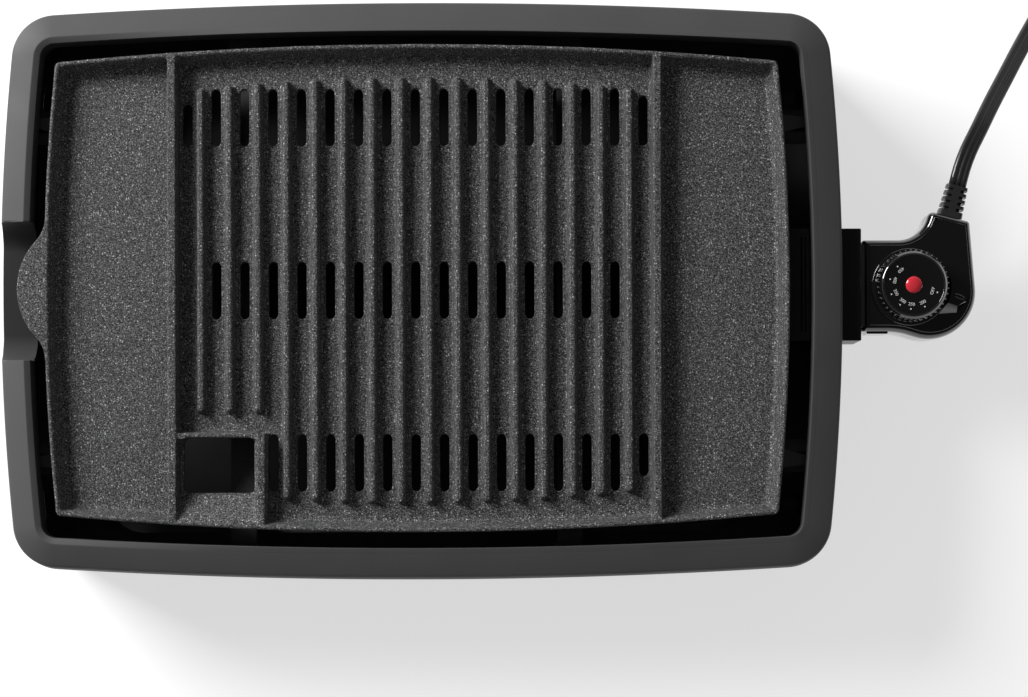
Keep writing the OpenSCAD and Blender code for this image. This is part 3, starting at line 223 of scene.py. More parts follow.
# ---------------------------------------------------------------- materials
class Nodes:
    """A material's node tree with short calls."""

    def __init__(self, name):
        self.mat = bpy.data.materials.new(name)
        self.mat.use_nodes = True
        self.tree = self.mat.node_tree
        self.bsdf = self.tree.nodes["Principled BSDF"]
        self.coords = self.tree.nodes.new("ShaderNodeTexCoord")

    def add(self, kind, **values):
        node = self.tree.nodes.new(kind)
        for k, v in values.items():
            setattr(node, k, v)
        return node

    def link(self, a, b):
        self.tree.links.new(a, b)

    def noise(self, scale, detail=2.0, rough=0.5):
        """A smooth random number from 0 to 1, fixed to the object."""
        n = self.add("ShaderNodeTexNoise")
        n.inputs["Scale"].default_value = scale
        n.inputs["Detail"].default_value = detail
        n.inputs["Roughness"].default_value = rough
        self.link(self.coords.outputs["Object"], n.inputs["Vector"])
        return n.outputs["Fac"]

    def cells(self, scale):
        n = self.add("ShaderNodeTexVoronoi", feature="F1")
        n.inputs["Scale"].default_value = scale
        self.link(self.coords.outputs["Object"], n.inputs["Vector"])
        return n

    def ramp(self, fac, low, high, start=0.3, end=0.7):
        """A colour from low to high as fac goes from start to end."""
        n = self.add("ShaderNodeValToRGB")
        self.link(fac, n.inputs["Fac"])
        for element, position, colour in zip(n.color_ramp.elements, (start, end), (low, high)):
            element.position, element.color = position, (*colour, 1)
        return n.outputs["Color"]

    def grey(self, fac, low, high, start=0.3, end=0.7):
        """A number from low to high as fac goes from start to end."""
        n = self.add("ShaderNodeMapRange")
        self.link(fac, n.inputs["Value"])
        n.inputs["From Min"].default_value = start
        n.inputs["From Max"].default_value = end
        n.inputs["To Min"].default_value = low
        n.inputs["To Max"].default_value = high
        return n.outputs["Result"]

    def math(self, op, a, b):
        n = self.add("ShaderNodeMath", operation=op)
        for k, v in enumerate((a, b)):
            if isinstance(v, (int, float)):
                n.inputs[k].default_value = v
            else:
                self.link(v, n.inputs[k])
        return n.outputs[0]

    def mix(self, fac, a, b):
        n = self.add("ShaderNodeMix", data_type="RGBA")
        self.link(fac, n.inputs["Factor"])
        for socket, v in (("A", a), ("B", b)):
            target = [i for i in n.inputs if i.name == socket and i.type == "RGBA"][0]
            if isinstance(v, tuple):
                target.default_value = (*v, 1)
            else:
                self.link(v, target)
        return [o for o in n.outputs if o.type == "RGBA"][0]

    def colour(self, value):
        if isinstance(value, tuple):
            self.bsdf.inputs["Base Color"].default_value = (*value, 1)
        else:
            self.link(value, self.bsdf.inputs["Base Color"])

    def rough(self, value):
        if isinstance(value, (int, float)):
            self.bsdf.inputs["Roughness"].default_value = value
        else:
            self.link(value, self.bsdf.inputs["Roughness"])

    def set(self, **values):
        for k, v in values.items():
            self.bsdf.inputs[k.replace("_", " ")].default_value = v

    def bump(self, height, distance, strength=1.0):
        n = self.add("ShaderNodeBump")
        n.inputs["Distance"].default_value = distance
        n.inputs["Strength"].default_value = strength
        self.link(height, n.inputs["Height"])
        self.link(n.outputs["Normal"], self.bsdf.inputs["Normal"])


def moulded(name, low, high, rough_low, rough_high, grain=0.00006, scale=1500.0):
    """Moulded plastic or rubber: a little uneven in colour and roughness, with a fine grain."""
    m = Nodes(name)
    m.colour(m.ramp(m.noise(18, 4), low, high))
    m.rough(m.grey(m.noise(35, 5), rough_low, rough_high))
    m.bump(m.noise(scale, 2), grain, 0.5)
    return m


def metal(name, low, high, rough_low, rough_high, scale=400.0):
    """Bare metal, a little uneven in colour and roughness."""
    m = Nodes(name)
    m.colour(m.ramp(m.noise(60, 6, 0.6), low, high))
    m.rough(m.grey(m.noise(scale, 4), rough_low, rough_high))
    m.set(Metallic=1.0)
    m.bump(m.noise(scale, 3), 0.00003, 0.4)
    return m


def grey3(v):
    return (v, v, v * 1.01)


# the darker and the lighter colour, the lower and the higher roughness, and the depth of the grain
MOULDED = {
    "housing_black": (grey3(0.05), grey3(0.056), 0.58, 0.66, 0.00004),
    "foot_rubber": (grey3(0.02), grey3(0.03), 0.75, 0.9),
    "cord_black": (grey3(0.018), grey3(0.025), 0.24, 0.34, 0.00002),
    "insulator": ((0.62, 0.6, 0.52), (0.7, 0.68, 0.6), 0.5, 0.7),
    "ceramic": ((0.74, 0.72, 0.66), (0.82, 0.8, 0.75), 0.6, 0.8, 0.0001),
    "shaft_plastic": ((0.7, 0.7, 0.66), (0.78, 0.78, 0.74), 0.2, 0.35),
    "tray_sheet": (grey3(0.022), grey3(0.03), 0.5, 0.6, 0.00003),
    "lens_red": ((0.5, 0.02, 0.03), (0.66, 0.04, 0.06), 0.08, 0.14, 0.00001),
    "mark_white": ((0.6, 0.6, 0.58), (0.68, 0.68, 0.66), 0.4, 0.55, 0.00001),
}
METALS = {
    "sheath": ((0.03, 0.032, 0.03), (0.06, 0.06, 0.055), 0.5, 0.7),
    "zinc_steel": ((0.12, 0.12, 0.12), (0.16, 0.16, 0.16), 0.5, 0.65),
    "pin_metal": ((0.66, 0.66, 0.67), (0.74, 0.74, 0.75), 0.14, 0.24),
    "contact_brass": ((0.62, 0.46, 0.2), (0.72, 0.55, 0.27), 0.25, 0.4),
}

mats = {name: moulded(name, *look).mat for name, look in MOULDED.items()}
mats.update({name: metal(name, *look).mat for name, look in METALS.items()})
glossy = moulded("control_black", grey3(0.003), grey3(0.005), 0.08, 0.14, 0.00001, 700)
glossy.set(Coat_Weight=1.0, Coat_Roughness=0.04)
mats["control_black"] = glossy.mat
glass = moulded("lamp_glass", (0.9, 0.5, 0.3), (0.95, 0.62, 0.4), 0.05, 0.1)
glass.set(Transmission_Weight=0.8)
mats["lamp_glass"] = glass.mat

# specks of the plate's coating: how many to a metre, their size, the share left out and their brightness
SPECKS = ((850, 0.40, 0.74, 0.5), (1300, 0.42, 0.5, 0.3))


def plate_material():
    """Granite-look non-stick coating: dark grey with fine pale specks of two sizes."""
    m = Nodes("plate_coating")
    colour = m.ramp(m.noise(1300, 1, 0.5), grey3(0.004), grey3(0.095), 0.38, 0.62)
    for scale, size, left_out, level in SPECKS:
        c = m.cells(scale)
        inside = m.grey(c.outputs["Distance"], 1.0, 0.0, size * 0.55, size)
        pick = m.add("ShaderNodeSeparateColor")
        m.link(c.outputs["Color"], pick.inputs["Color"])
        chosen = m.grey(pick.outputs["Red"], 0.0, 1.0, left_out, min(1.0, left_out + 0.25))
        colour = m.mix(m.math("MULTIPLY", inside, chosen), colour, grey3(level))
    m.colour(colour)
    m.rough(m.grey(m.noise(500, 3), 0.56, 0.7))
    m.set(Specular_IOR_Level=0.35)
    m.bump(m.noise(1100, 3, 0.6), 0.00012, 0.5)
    return m.mat


mats["plate_coating"] = plate_material()


def paint(obj, mat):
    obj.data.materials.clear()
    obj.data.materials.append(mat)


slot_of = {s["node"]: s["material_slot"] for s in record["subparts"]}
for name, obj in nodes.items():
    paint(obj, mats[slot_of[name]])
paint(cord, mats["cord_black"])
block_black = moulded("block_black", grey3(0.004), grey3(0.006), 0.3, 0.38, 0.00001, 900)
paint(nodes["terminal_block"], block_black.mat)


# ---------------------------------------------------------------- forms made here
SLIVER = 0.02 * MM
# joins the seams of an imported solid
SEAM = 0.000005


def arc(x, y, radius, first, last, steps):
    """Points on an arc given in degrees, both ends included."""
    angles = [math.radians(first + (last - first) * i / steps) for i in range(steps + 1)]
    return [(x + radius * math.cos(a), y + radius * math.sin(a)) for a in angles]


def rounded(points, closed=False, steps=5):
    """A profile whose corners, given as (x, y, radius), are rounded."""
    out = []
    count = len(points)
    for i, (x, y, radius) in enumerate(points):
        ends = not closed and i in (0, count - 1)
        if radius <= 0 or ends:
            out.append((x, y))
            continue
        here = Vector((x, y))
        back = Vector(points[i - 1][:2]) - here
        ahead = Vector(points[(i + 1) % count][:2]) - here
        half = back.angle(ahead) / 2
        reach = min(radius / math.tan(half), 0.48 * back.length, 0.48 * ahead.length)
        true_radius = reach * math.tan(half)
        centre = here + (back.normalized() + ahead.normalized()).normalized() * (true_radius / math.sin(half))
        start = here + back.normalized() * reach - centre
        stop = here + ahead.normalized() * reach - centre
        turn = start.angle_signed(stop)
        for k in range(steps + 1):
            p = centre + Matrix.Rotation(-turn * k / steps, 2) @ start
            out.append((p.x, p.y))
    return out


def solid_mesh(name, verts, faces):
    """A mesh with its faces turned outward."""
    mesh = mesh_from(name, verts, faces)
    work = bmesh.new()
    work.from_mesh(mesh)
    bmesh.ops.recalc_face_normals(work, faces=work.faces)
    work.to_mesh(mesh)
    work.free()
    return mesh


def loose(mesh):
    """An object that is not yet a piece."""
    obj = bpy.data.objects.new(mesh.name, mesh)
    scene.collection.objects.link(obj)
    return obj


def settled(obj):
    """The object with its modifiers applied."""
    bpy.context.view_layer.update()
    graph = bpy.context.evaluated_depsgraph_get()
    made = bpy.data.meshes.new_from_object(obj.evaluated_get(graph), depsgraph=graph)
    obj.modifiers.clear()
    obj.data = made
    return obj


def carve(obj, tool, operation):
    """Joins, cuts or keeps what two closed meshes share, and drops the tool."""
    m = obj.modifiers.new(operation.lower(), "BOOLEAN")
    m.operation = operation
    m.solver = "EXACT"
    m.object = tool
    settled(obj)
    bpy.data.objects.remove(tool)
    return obj


def prism(name, outline, low, high, place):
    """An outline drawn out from low to high; place turns (a, b, along) into a point."""
    verts, faces = stitch([[place(a, b, t) for a, b in outline] for t in (low, high)])
    return loose(solid_mesh(name, verts, faces))


def block(name, low, high):
    """A box between two corners."""
    outline = [(low[0], low[1]), (high[0], low[1]), (high[0], high[1]), (low[0], high[1])]
    return prism(name, outline, low[2], high[2], world_point)


def joined(name, parts, body, slot, *replaced):
    """One object from several meshes, riding on a body in place of some nodes."""
    work = bmesh.new()
    for part in parts:
        work.from_mesh(part.data)
        bpy.data.objects.remove(part)
    # slivers left by a cut would let the shading run round its sharp edges
    bmesh.ops.remove_doubles(work, verts=work.verts, dist=SLIVER)
    bmesh.ops.dissolve_degenerate(work, edges=work.edges, dist=SLIVER)
    mesh = bpy.data.meshes.new(name)
    work.to_mesh(mesh)
    work.free()
    obj = new_object(name, mesh, body)
    if replaced:
        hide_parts(*replaced)
    paint(obj, mats[slot])
    return obj


# ---------------------------------------------------------------- base
HALF_LENGTH, HALF_WIDTH, BASE_CORNER = 226.0, 154.0, 23.0
LONG_BOW, SHORT_BOW = 3.5, 5.7
RIM_WIDTH, RIM_TOP = 15.0, 82.0
SCOOP_HALF, SCOOP_DEPTH, SCOOP_ROUND, SCOOP_SKIN, SCOOP_FALL = 37.2, 16.0, 14.5, 3.0, 0.42
WINDOW_HALF, WINDOW_LOW, WINDOW_HIGH = 30.7, 39.8, 68.2
# the wall's section, up its outside as (outward, height, rounding) and down its inside as (outward, height)
WALL_OUTSIDE = [(1.6, 6, 0), (2.6, 58, 12), (2.2, 69, 8), (0.9, 78.3, 2.4), (-11.7, 81.6, 1.2),
                (-15, 80.4, 0.5), (-15, 70, 0)]
WALL_INSIDE = [(-12.4, 70), (-12.4, 78.4), (-11, 78.8), (-4.5, 76.8), (-2.5, 75.2), (-0.6, 68), (-0.2, 58),
               (-1.2, 6)]
# the rim's inner bevel: where it starts, its width, the height it lies above, its lift and its fade along X
BEVEL_START, BEVEL_WIDTH, BEVEL_LEVEL, BEVEL_LIFT, BEVEL_FADE = -11.7, 3.3, 79, 2.0, 150
# the section along Y that the scoop's own skin is kept in
SCOOP_SECTION = [(-230, 52), (-210, 52), (-210, 79), (-214, 79), (-222, 77), (-224, 74.6), (-230, 74.6)]
# what is taken from the solid lies further inside the outline than its wall, and not up in its rim
BEHIND_WALL, BEHIND_RIM, RIM_LOW = -2.95, -16.2, 62


def bow_values():
    """The two bows' radii, the corner's centre and the bows' centres."""
    sin_l, cos_l = math.sin(math.radians(LONG_BOW)), math.cos(math.radians(LONG_BOW))
    sin_s, cos_s = math.sin(math.radians(SHORT_BOW)), math.cos(math.radians(SHORT_BOW))
    scale = sin_l * sin_s - (1 - cos_s) * (1 - cos_l)
    long_reach = ((HALF_LENGTH - BASE_CORNER) * sin_s - (HALF_WIDTH - BASE_CORNER) * (1 - cos_s)) / scale
    short_reach = ((HALF_WIDTH - BASE_CORNER) * sin_l - (HALF_LENGTH - BASE_CORNER) * (1 - cos_l)) / scale
    corner = (long_reach * sin_l, short_reach * sin_s)
    return (long_reach, short_reach, corner[0], corner[1],
            corner[1] - long_reach * cos_l, corner[0] - short_reach * cos_s)


LONG_REACH, SHORT_REACH, CORNER_X, CORNER_Y, LONG_CENTRE, SHORT_CENTRE = bow_values()


def base_outline(grow):
    """The rim's outline moved out by grow, with the same number of points for every grow."""
    half = arc(SHORT_CENTRE, 0, SHORT_REACH + BASE_CORNER + grow, -SHORT_BOW, SHORT_BOW, 40)[:-1]
    half += arc(CORNER_X, CORNER_Y, BASE_CORNER + grow, SHORT_BOW, 90 - LONG_BOW, 20)[:-1]
    half += arc(0, LONG_CENTRE, LONG_REACH + BASE_CORNER + grow, 90 - LONG_BOW, 90 + LONG_BOW, 56)[:-1]
    half += arc(-CORNER_X, CORNER_Y, BASE_CORNER + grow, 90 + LONG_BOW, 180 - SHORT_BOW, 20)[:-1]
    return half + [(-x, -y) for x, y in half]


def outside_by(x, y):
    """How far a point lies outside the rim's outline."""
    x, y = abs(x), abs(y)
    if x > CORNER_X and y > CORNER_Y:
        return math.hypot(x - CORNER_X, y - CORNER_Y) - BASE_CORNER
    return max(math.hypot(x - SHORT_CENTRE, y) - SHORT_REACH,
               math.hypot(x, y - LONG_CENTRE) - LONG_REACH) - BASE_CORNER


def scoop_outline(grow, top):
    """The scoop's section across, open to the top."""
    level = RIM_TOP - SCOOP_DEPTH + SCOOP_ROUND
    flat = SCOOP_HALF - SCOOP_ROUND
    return ([(-SCOOP_HALF - grow, top)] + arc(-flat, level, SCOOP_ROUND + grow, 180, 270, 24)
            + arc(flat, level, SCOOP_ROUND + grow, 270, 360, 24) + [(SCOOP_HALF + grow, top)])


def sinking(a, b, t):
    """Along X, lower toward the inside of the base."""
    return world_point(t, a, b - SCOOP_FALL * (t + HALF_LENGTH))


def along_y(a, b, t):
    """Along Y, with the outline seen from the front."""
    return world_point(a, t, b)


def inside_faces():
    """A copy of the base's floor, shelves and bosses, without its wall and rim."""
    source = nodes["base_housing"]
    place = source.matrix_world
    work = bmesh.new()
    work.from_mesh(source.data)
    drop = []
    for face in work.faces:
        p = place @ face.calc_center_median()
        gap = outside_by(p.x / MM + MIDDLE, p.y / MM)
        if gap > BEHIND_WALL or (gap > BEHIND_RIM and p.z / MM > RIM_LOW):
            drop.append(face)
    bmesh.ops.delete(work, geom=drop, context="FACES")
    work.transform(place)
    mesh = bpy.data.meshes.new("base_inside")
    work.to_mesh(mesh)
    work.free()
    return loose(mesh)


def rim_ring(inset, z):
    """A ring of the wall; the rim's inner bevel is full at the left end and flattens toward the right."""
    lift = BEVEL_LIFT * min(1.0, max(0.0, (BEVEL_START - inset) / BEVEL_WIDTH)) if z > BEVEL_LEVEL else 0.0
    return [world_point(x, y, z + lift * ease((x + HALF_LENGTH) / BEVEL_FADE))
            for x, y in base_outline(inset)]


def make_base():
    """The base's wall and rim with the scoop and the socket's window, round the solid's floor and shelves."""
    rings = [rim_ring(inset, z) for inset, z in rounded(WALL_OUTSIDE) + WALL_INSIDE]
    shell = loose(solid_mesh("shell", *stitch(rings, closed_rings=True)))
    dish = prism("dish", scoop_outline(SCOOP_SKIN, 90), -HALF_LENGTH - 0.2, RIM_WIDTH - HALF_LENGTH - 0.2,
                 sinking)
    carve(dish, prism("under", SCOOP_SECTION, 45, -45, along_y), "INTERSECT")
    carve(shell, dish, "UNION")
    carve(shell, prism("scoop", scoop_outline(0, 97), -232, -HALF_LENGTH + RIM_WIDTH + 1, sinking),
          "DIFFERENCE")
    carve(shell, block("window", (HALF_LENGTH - 8, SOCKET[1] - WINDOW_HALF, WINDOW_LOW),
                       (HALF_LENGTH + 12, SOCKET[1] + WINDOW_HALF, WINDOW_HIGH)), "DIFFERENCE")
    base = joined("base_moulding", [shell, inside_faces()], "base", "housing_black", "base_housing")
    smooth_by_angle(base, 32)
    # the scoop's sloped floor stays flat
    for face in base.data.polygons:
        if (abs(face.center.y) < SCOOP_HALF * MM and face.center.x < world_point(-209, 0, 0).x
                and face.normal.z > 0.9):
            face.use_smooth = False


make_base()

# ---------------------------------------------------------------- control
# the control's outline: each arc's centre, radius, first and last angle, steps and turn (1 out, -1 in)
CONTROL_ARCS = [(3, -23.8, 1.5, 180, 270, 8, 1), (14.5, -69.3, 44, 90, 77, 10, -1),
                (37.8, -3.5, 25.8, -109.5, 4.8, 40, 1), (58.1, 33.15, 2.5, 4.8, 75, 10, 1),
                (40.6, 36.8, 3.5, 75, 143, 12, 1), (21, 41.8, 16.7, -14.3, -90, 24, -1),
                (3, 23.6, 1.5, 90, 180, 8, 1)]
CONTROL_LOW, CONTROL_SPLIT, CONTROL_HIGH = 38.0, 52.0, 66.0
DIAL = (26.7, -1.3)
DIAL_RADIUS, DIAL_HEIGHT, SKIRT_RADIUS, KNURL_TEETH = 17.3, 13.6, 21.0, 40
SHAFT_LOW, SHAFT_BORE, KNURL_BORE = 57.0, 5.25, 7.0
LENS_RADIUS, LENS_SEAT, SHAFT_SEAT, FACE_SUNK = 4.55, 4.6, 5.05, 0.4
# what a body's outline keeps in from the solid's, so that the dressed one stays inside its box
KEEP_IN = 0.02
# the pointer beside the dial: its outer corners at its foot and at its top, beyond the dial's skirt
POINTER_FOOT = [(52.4, -0.4), (56.2, -3.4), (57.8, -6.2), (57.0, -10.2), (52.1, -15.2)]
POINTER_TOP = [(52.1, -0.9), (55.8, -3.8), (57.1, -6.4), (56.2, -9.4), (51.8, -12.0)]
# the pointer's levels: how far from the foot's outline to the top's, and the height over the control
POINTER_LEVELS = [(0, -1.0), (0, 0.25), (0.04, 0.5), (0.95, 4.0), (1.0, 4.2)]
LATCH = [(4, -26.2, 0.6), (15.6, -26.2, 0.6), (15.6, -22, 0), (4, -22, 0)]
LATCH_LOW, LATCH_HIGH = -6, 8.3


def control_outline(inset):
    """The control's outline moved in; an arc smaller than the inset shrinks to a corner beyond its centre."""
    out = []
    for x, y, radius, first, last, steps, turn in CONTROL_ARCS:
        if turn > 0 and inset >= radius:
            middle, half = math.radians((first + last) / 2), math.radians(abs(last - first) / 2)
            reach = (radius - inset) / math.cos(half)
            corner = (x + reach * math.cos(middle), y + reach * math.sin(middle))
            out += [(corner[0] + 0.004 * k, corner[1]) for k in range(steps + 1)]
        else:
            out += arc(x, y, radius - turn * inset, first, last, steps)
    return out


def axis_bar(radius, low, high):
    """A round bar on the dial's axis."""
    return prism("bore", arc(*DIAL, radius, 0, 360, 48)[:-1], low, high, socket_point)


def control_body(name, profile, node, bore=None):
    """A moulded half of the control through (inset, height) rings, with a bore for the dial's shaft."""
    rings = [[socket_point(x, y, z) for x, y in control_outline(inset)] for inset, z in profile]
    obj = loose(solid_mesh(name, *stitch(rings)))
    if bore:
        carve(obj, bore, "DIFFERENCE")
    obj = joined(name, [obj], "control", "control_black", node)
    smooth_by_angle(obj, 40)
    return obj


def quarter(inset, drop, steps):
    """Rings of a rounded edge, from the wall to the flat top: (inset, distance below the top)."""
    angles = [math.radians(90 * k / steps) for k in range(steps + 1)]
    return [(inset * (1 - math.cos(a)), drop * (1 - math.sin(a))) for a in angles]


control_body("control_upper_shell", [(0.3, CONTROL_SPLIT), (KEEP_IN, CONTROL_SPLIT + 0.3)]
             + [(a + KEEP_IN, CONTROL_HIGH - 0.85 - b) for a, b in quarter(3.2, 5.8, 14)]
             + [(3.3, CONTROL_HIGH - 0.8), (3.4, CONTROL_HIGH - 0.1), (3.5, CONTROL_HIGH),
                (4.8, CONTROL_HIGH)],
             "control_body_upper", axis_bar(SHAFT_BORE, SHAFT_LOW - 0.5, CONTROL_HIGH + 1))
control_body("control_lower_shell", [(4.5, CONTROL_LOW)]
             + [(a + KEEP_IN, CONTROL_LOW + b) for a, b in reversed(quarter(3, 3.5, 8))]
             + [(KEEP_IN, CONTROL_SPLIT - 0.3), (0.3, CONTROL_SPLIT)], "control_body_lower")


def pointer_mesh():
    """The pointer beside the dial: a flat top that ends in a sloping facet on its lower side."""
    foot = arc(*DIAL, SKIRT_RADIUS + 0.4, -43, 14, 24) + POINTER_FOOT
    top = arc(*DIAL, SKIRT_RADIUS + 0.9, -24, 13, 24) + POINTER_TOP
    rings = [[socket_point(a[0] + (b[0] - a[0]) * share, a[1] + (b[1] - a[1]) * share, CONTROL_HIGH + lift)
              for a, b in zip(foot, top)] for share, lift in POINTER_LEVELS]
    return loose(solid_mesh("pointer", *stitch(rings)))


def pointer_bead():
    """The small oval bead on the pointer's ridge."""
    rings = []
    turn = [2 * math.pi * i / 24 for i in range(24)]
    for k in range(7):
        angle = math.radians(90 * k / 6)
        wide, high = math.cos(angle) + 0.02, math.sin(angle)
        rings.append([socket_point(52.9 + 2.9 * wide * math.cos(t) - 0.5 * wide * math.sin(t),
                                   -6.9 + 1.4 * wide * math.sin(t) - 0.8 * wide * math.cos(t),
                                   CONTROL_HIGH + 4.1 + 0.7 * high) for t in turn])
    return loose(solid_mesh("bead", *stitch(rings)))


pointer = joined("dial_pointer", [pointer_mesh(), pointer_bead()], "control", "control_black")
smooth_by_angle(pointer, 28)
joined("control_latch", [prism("latch", rounded(LATCH, closed=True), CONTROL_SPLIT + LATCH_LOW,
                               CONTROL_SPLIT + LATCH_HIGH, socket_point)], "control", "control_black")


def dial_point(radius, degrees, z):
    """A point about the dial's axis."""
    angle = math.radians(degrees)
    return socket_point(DIAL[0] + radius * math.cos(angle), DIAL[1] + radius * math.sin(angle), z)


# the steps of the dial's turned section, and a tooth of the knurl as (share of its pitch, outward)
DIAL_STEPS = 144
TOOTH = [(0, 0.7), (0.18, 1.5), (0.32, 2.1), (0.5, 2.1), (0.64, 1.5), (0.82, 0.7)]


def make_dial():
    """The dial: a skirt, a knurled grip and a sunk face round the lens."""
    low, top = CONTROL_HIGH + 0.6, CONTROL_HIGH + DIAL_HEIGHT
    profile = rounded([(SHAFT_SEAT, low, 0), (SKIRT_RADIUS, low, 0.2), (SKIRT_RADIUS, low + 1.5, 0.55),
                       (DIAL_RADIUS + 1.7, low + 1.8, 0.5), (DIAL_RADIUS + 0.9, top - 1.5, 0.6),
                       (DIAL_RADIUS, top - 0.35, 0.4), (DIAL_RADIUS - 0.45, top, 0.25),
                       (DIAL_RADIUS - 1.0, top, 0.2), (DIAL_RADIUS - 1.1, top - FACE_SUNK, 0.05),
                       (LENS_RADIUS, top - FACE_SUNK, 0.15), (LENS_RADIUS, top - LENS_SEAT, 0),
                       (SHAFT_SEAT, top - LENS_SEAT - 0.2, 0)], closed=True)
    rings = [[dial_point(r, 360 * k / DIAL_STEPS, z) for r, z in profile] for k in range(DIAL_STEPS)]
    knob = loose(solid_mesh("knob", *stitch(rings, closed_rings=True)))
    teeth = [(DIAL_RADIUS + out, (k + share) * 360 / KNURL_TEETH) for k in range(KNURL_TEETH)
             for share, out in TOOTH]
    levels = ((0, low + 1.2), (0, low + 2.5), (0, top - 2.6), (0.9, top - 1.8))
    rings = [[dial_point(r - inset, a, z) for r, a in teeth] for inset, z in levels]
    knurl = loose(solid_mesh("knurl", *stitch(rings)))
    carve(knurl, axis_bar(KNURL_BORE, low, top), "DIFFERENCE")
    smooth_by_angle(joined("dial_knob", [knob, knurl], "dial", "control_black", "dial"), 35)


make_dial()

# the marks round the dial, each with its angle
MARKS = ((132, "450"), (167, "400"), (203, "350"), (235, "300"), (262.6, "250"), (296, "200"), (341.5, "OFF"))
WORD_SIZE, WORD_HALF_DEPTH, WORD_CIRCLE = 2.4, 0.03, 10.6
DOT_RADIUS, DOT_CIRCLE = 0.42, 13.2


def make_marks():
    """Temperature numbers and their dots on the dial."""
    work = bmesh.new()
    face = CONTROL_HIGH + DIAL_HEIGHT - FACE_SUNK
    for degrees, words in MARKS:
        curve = bpy.data.curves.new("words", "FONT")
        curve.body = words
        curve.size = WORD_SIZE * MM
        curve.align_x = "CENTER"
        curve.align_y = "CENTER"
        curve.extrude = WORD_HALF_DEPTH * MM
        letters = bpy.data.objects.new("words", curve)
        scene.collection.objects.link(letters)
        letters.location = dial_point(WORD_CIRCLE, degrees, face + 0.02)
        letters.rotation_euler = (0, 0, math.radians(degrees + 90))
        bpy.context.view_layer.update()
        graph = bpy.context.evaluated_depsgraph_get()
        mesh = bpy.data.meshes.new_from_object(letters.evaluated_get(graph), depsgraph=graph)
        mesh.transform(letters.matrix_world)
        work.from_mesh(mesh)
        bpy.data.objects.remove(letters)
        dot = dial_point(DOT_CIRCLE, degrees, face + 0.03)
        bmesh.ops.create_cone(work, cap_ends=True, segments=16, depth=0.1 * MM, radius1=DOT_RADIUS * MM,
                              radius2=(DOT_RADIUS - 0.04) * MM, matrix=Matrix.Translation(dot))
    mesh = bpy.data.meshes.new("dial_marks")
    work.to_mesh(mesh)
    work.free()
    paint(new_object("dial_marks", mesh, "dial"), mats["mark_white"])


make_marks()

# ---------------------------------------------------------------- dressed solids
# the imported nodes keep their own shading; joining their seams lets the light run over smooth curves
for name in ("terminal_block", "strain_relief", "drip_tray", "plug_body", "heating_element",
             "indicator_lens"):
    weld = nodes[name].modifiers.new("weld", "WELD")
    weld.merge_threshold = SEAM
edge = nodes["terminal_block"].modifiers.new("edge", "BEVEL")
edge.width = 0.6 * MM
edge.segments = 3
edge.limit_method = "ANGLE"
edge.angle_limit = math.radians(40)


PLATE_CELL, PLATE_ROUNDS = ((0.0005, 5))


def make_plate():
    """The grill plate remeshed finely and smoothed a little, as a casting with soft edges."""
    source = nodes["grill_plate"]
    mesh = source.data.copy()
    mesh.name = "plate_casting"
    obj = loose(mesh)
    obj.matrix_world = source.matrix_world
    weld = obj.modifiers.new("weld", "WELD")
    weld.merge_threshold = SEAM
    remesh = obj.modifiers.new("remesh", "REMESH")
    remesh.mode = "VOXEL"
    remesh.voxel_size = PLATE_CELL
    smooth = obj.modifiers.new("smooth", "SMOOTH")
    smooth.factor = 0.5
    smooth.iterations = PLATE_ROUNDS
    settled(obj)
    smooth_all(obj.data)
    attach(obj, "plate")
    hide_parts("grill_plate")
    paint(obj, mats["plate_coating"])


make_plate()


# ---------------------------------------------------------------- floor and light
def seen_directly(tree):
    """1 for camera, mirror and see-through rays, 0 for the rays that light things."""
    rays = tree.nodes.new("ShaderNodeLightPath")
    total = rays.outputs["Is Camera Ray"]
    for name in ("Is Glossy Ray", "Is Transmission Ray"):
        larger = tree.nodes.new("ShaderNodeMath")
        larger.operation = "MAXIMUM"
        tree.links.new(total, larger.inputs[0])
        tree.links.new(rays.outputs[name], larger.inputs[1])
        total = larger.outputs[0]
    return total


FLOOR_HALF, FLOOR_LEVEL = 6, -0.0002
FLOOR_COLOUR, FLOOR_GLOW, FLOOR_SEEN = 0.8, 0.62, 0.5


def floor_material():
    """White by its own glow where it is seen, with the shadow kept, and plain for the light it returns."""
    m = Nodes("floor")
    m.colour(m.ramp(m.noise(3, 2), (FLOOR_COLOUR,) * 3, (FLOOR_COLOUR + 0.01,) * 3))
    m.rough(0.9)
    m.set(Specular_IOR_Level=0.0)
    seen = m.add("ShaderNodeBsdfDiffuse")
    seen.inputs["Color"].default_value = (FLOOR_SEEN, FLOOR_SEEN, FLOOR_SEEN, 1)
    glow = m.add("ShaderNodeEmission")
    glow.inputs["Strength"].default_value = FLOOR_GLOW
    both = m.add("ShaderNodeAddShader")
    m.link(seen.outputs[0], both.inputs[0])
    m.link(glow.outputs[0], both.inputs[1])
    pick = m.add("ShaderNodeMixShader")
    m.link(seen_directly(m.tree), pick.inputs[0])
    m.link(m.bsdf.outputs[0], pick.inputs[1])
    m.link(both.outputs[0], pick.inputs[2])
    m.link(pick.outputs[0], m.tree.nodes["Material Output"].inputs["Surface"])
    return m.mat


corners = [(-1, -1), (1, -1), (1, 1), (-1, 1)]
floor = loose(mesh_from("floor", [(x * FLOOR_HALF, y * FLOOR_HALF, 0) for x, y in corners], [(0, 1, 2, 3)]))
floor.location.z = FLOOR_LEVEL
paint(floor, floor_material())

# the key light stands low at the back left; its side is in metres
KEY_AZIMUTH, KEY_TILT, KEY_DISTANCE = 144.5, 60.0, 2.8
KEY_SIDE, KEY_POWER = 1.25, 120
KEY_TARGET = Vector((0, 0, 0.05))
AMBIENT = 0.19
# heights of a reflected ray between which the surroundings go from bright to dark
SKY_START, SKY_END, SKY_LOW, SKY_HIGH = 0.08, 0.5, 1.0, 0.04


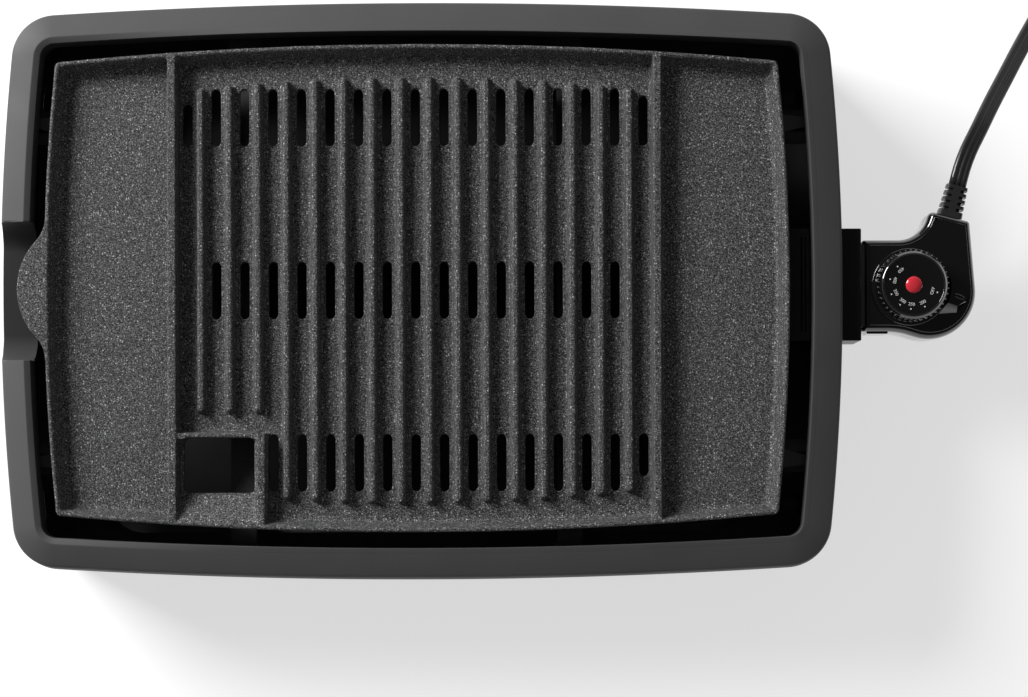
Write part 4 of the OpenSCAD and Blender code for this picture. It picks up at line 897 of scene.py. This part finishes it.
def key_light():
    tilt, azimuth = math.radians(KEY_TILT), math.radians(KEY_AZIMUTH)
    way = Vector((math.sin(tilt) * math.cos(azimuth), math.sin(tilt) * math.sin(azimuth), math.cos(tilt)))
    data = bpy.data.lights.new("key", "AREA")
    data.shape = "RECTANGLE"
    data.size = KEY_SIDE
    data.size_y = KEY_SIDE
    data.energy = KEY_POWER
    obj = bpy.data.objects.new("key", data)
    scene.collection.objects.link(obj)
    obj.location = way * KEY_DISTANCE + KEY_TARGET
    obj.rotation_euler = (KEY_TARGET - obj.location).to_track_quat("-Z", "Y").to_euler()


def surroundings():
    """An even light on the object; mirror rays see a bright low band under a dark sky."""
    world = bpy.data.worlds.new("studio")
    scene.world = world
    world.use_nodes = True
    tree = world.node_tree
    background = tree.nodes["Background"]
    background.inputs["Color"].default_value = (1, 1, 1, 1)
    coords = tree.nodes.new("ShaderNodeTexCoord")
    split = tree.nodes.new("ShaderNodeSeparateXYZ")
    tree.links.new(coords.outputs["Generated"], split.inputs["Vector"])
    sky = tree.nodes.new("ShaderNodeMapRange")
    sky.inputs["From Min"].default_value = SKY_START
    sky.inputs["From Max"].default_value = SKY_END
    sky.inputs["To Min"].default_value = SKY_LOW
    sky.inputs["To Max"].default_value = SKY_HIGH
    tree.links.new(split.outputs["Z"], sky.inputs["Value"])
    strength = tree.nodes.new("ShaderNodeMix")
    strength.data_type = "FLOAT"
    strength.inputs["A"].default_value = AMBIENT
    tree.links.new(sky.outputs["Result"], strength.inputs["B"])
    tree.links.new(seen_directly(tree), strength.inputs["Factor"])
    # the camera sees the far floor's tone all round, so no horizon shows
    backdrop = tree.nodes.new("ShaderNodeMix")
    backdrop.data_type = "FLOAT"
    camera_ray = tree.nodes.new("ShaderNodeLightPath").outputs["Is Camera Ray"]
    tree.links.new(camera_ray, backdrop.inputs["Factor"])
    tree.links.new(strength.outputs["Result"], backdrop.inputs["A"])
    backdrop.inputs["B"].default_value = FLOOR_GLOW + FLOOR_SEEN * AMBIENT
    tree.links.new(backdrop.outputs["Result"], background.inputs["Strength"])


key_light()
surroundings()
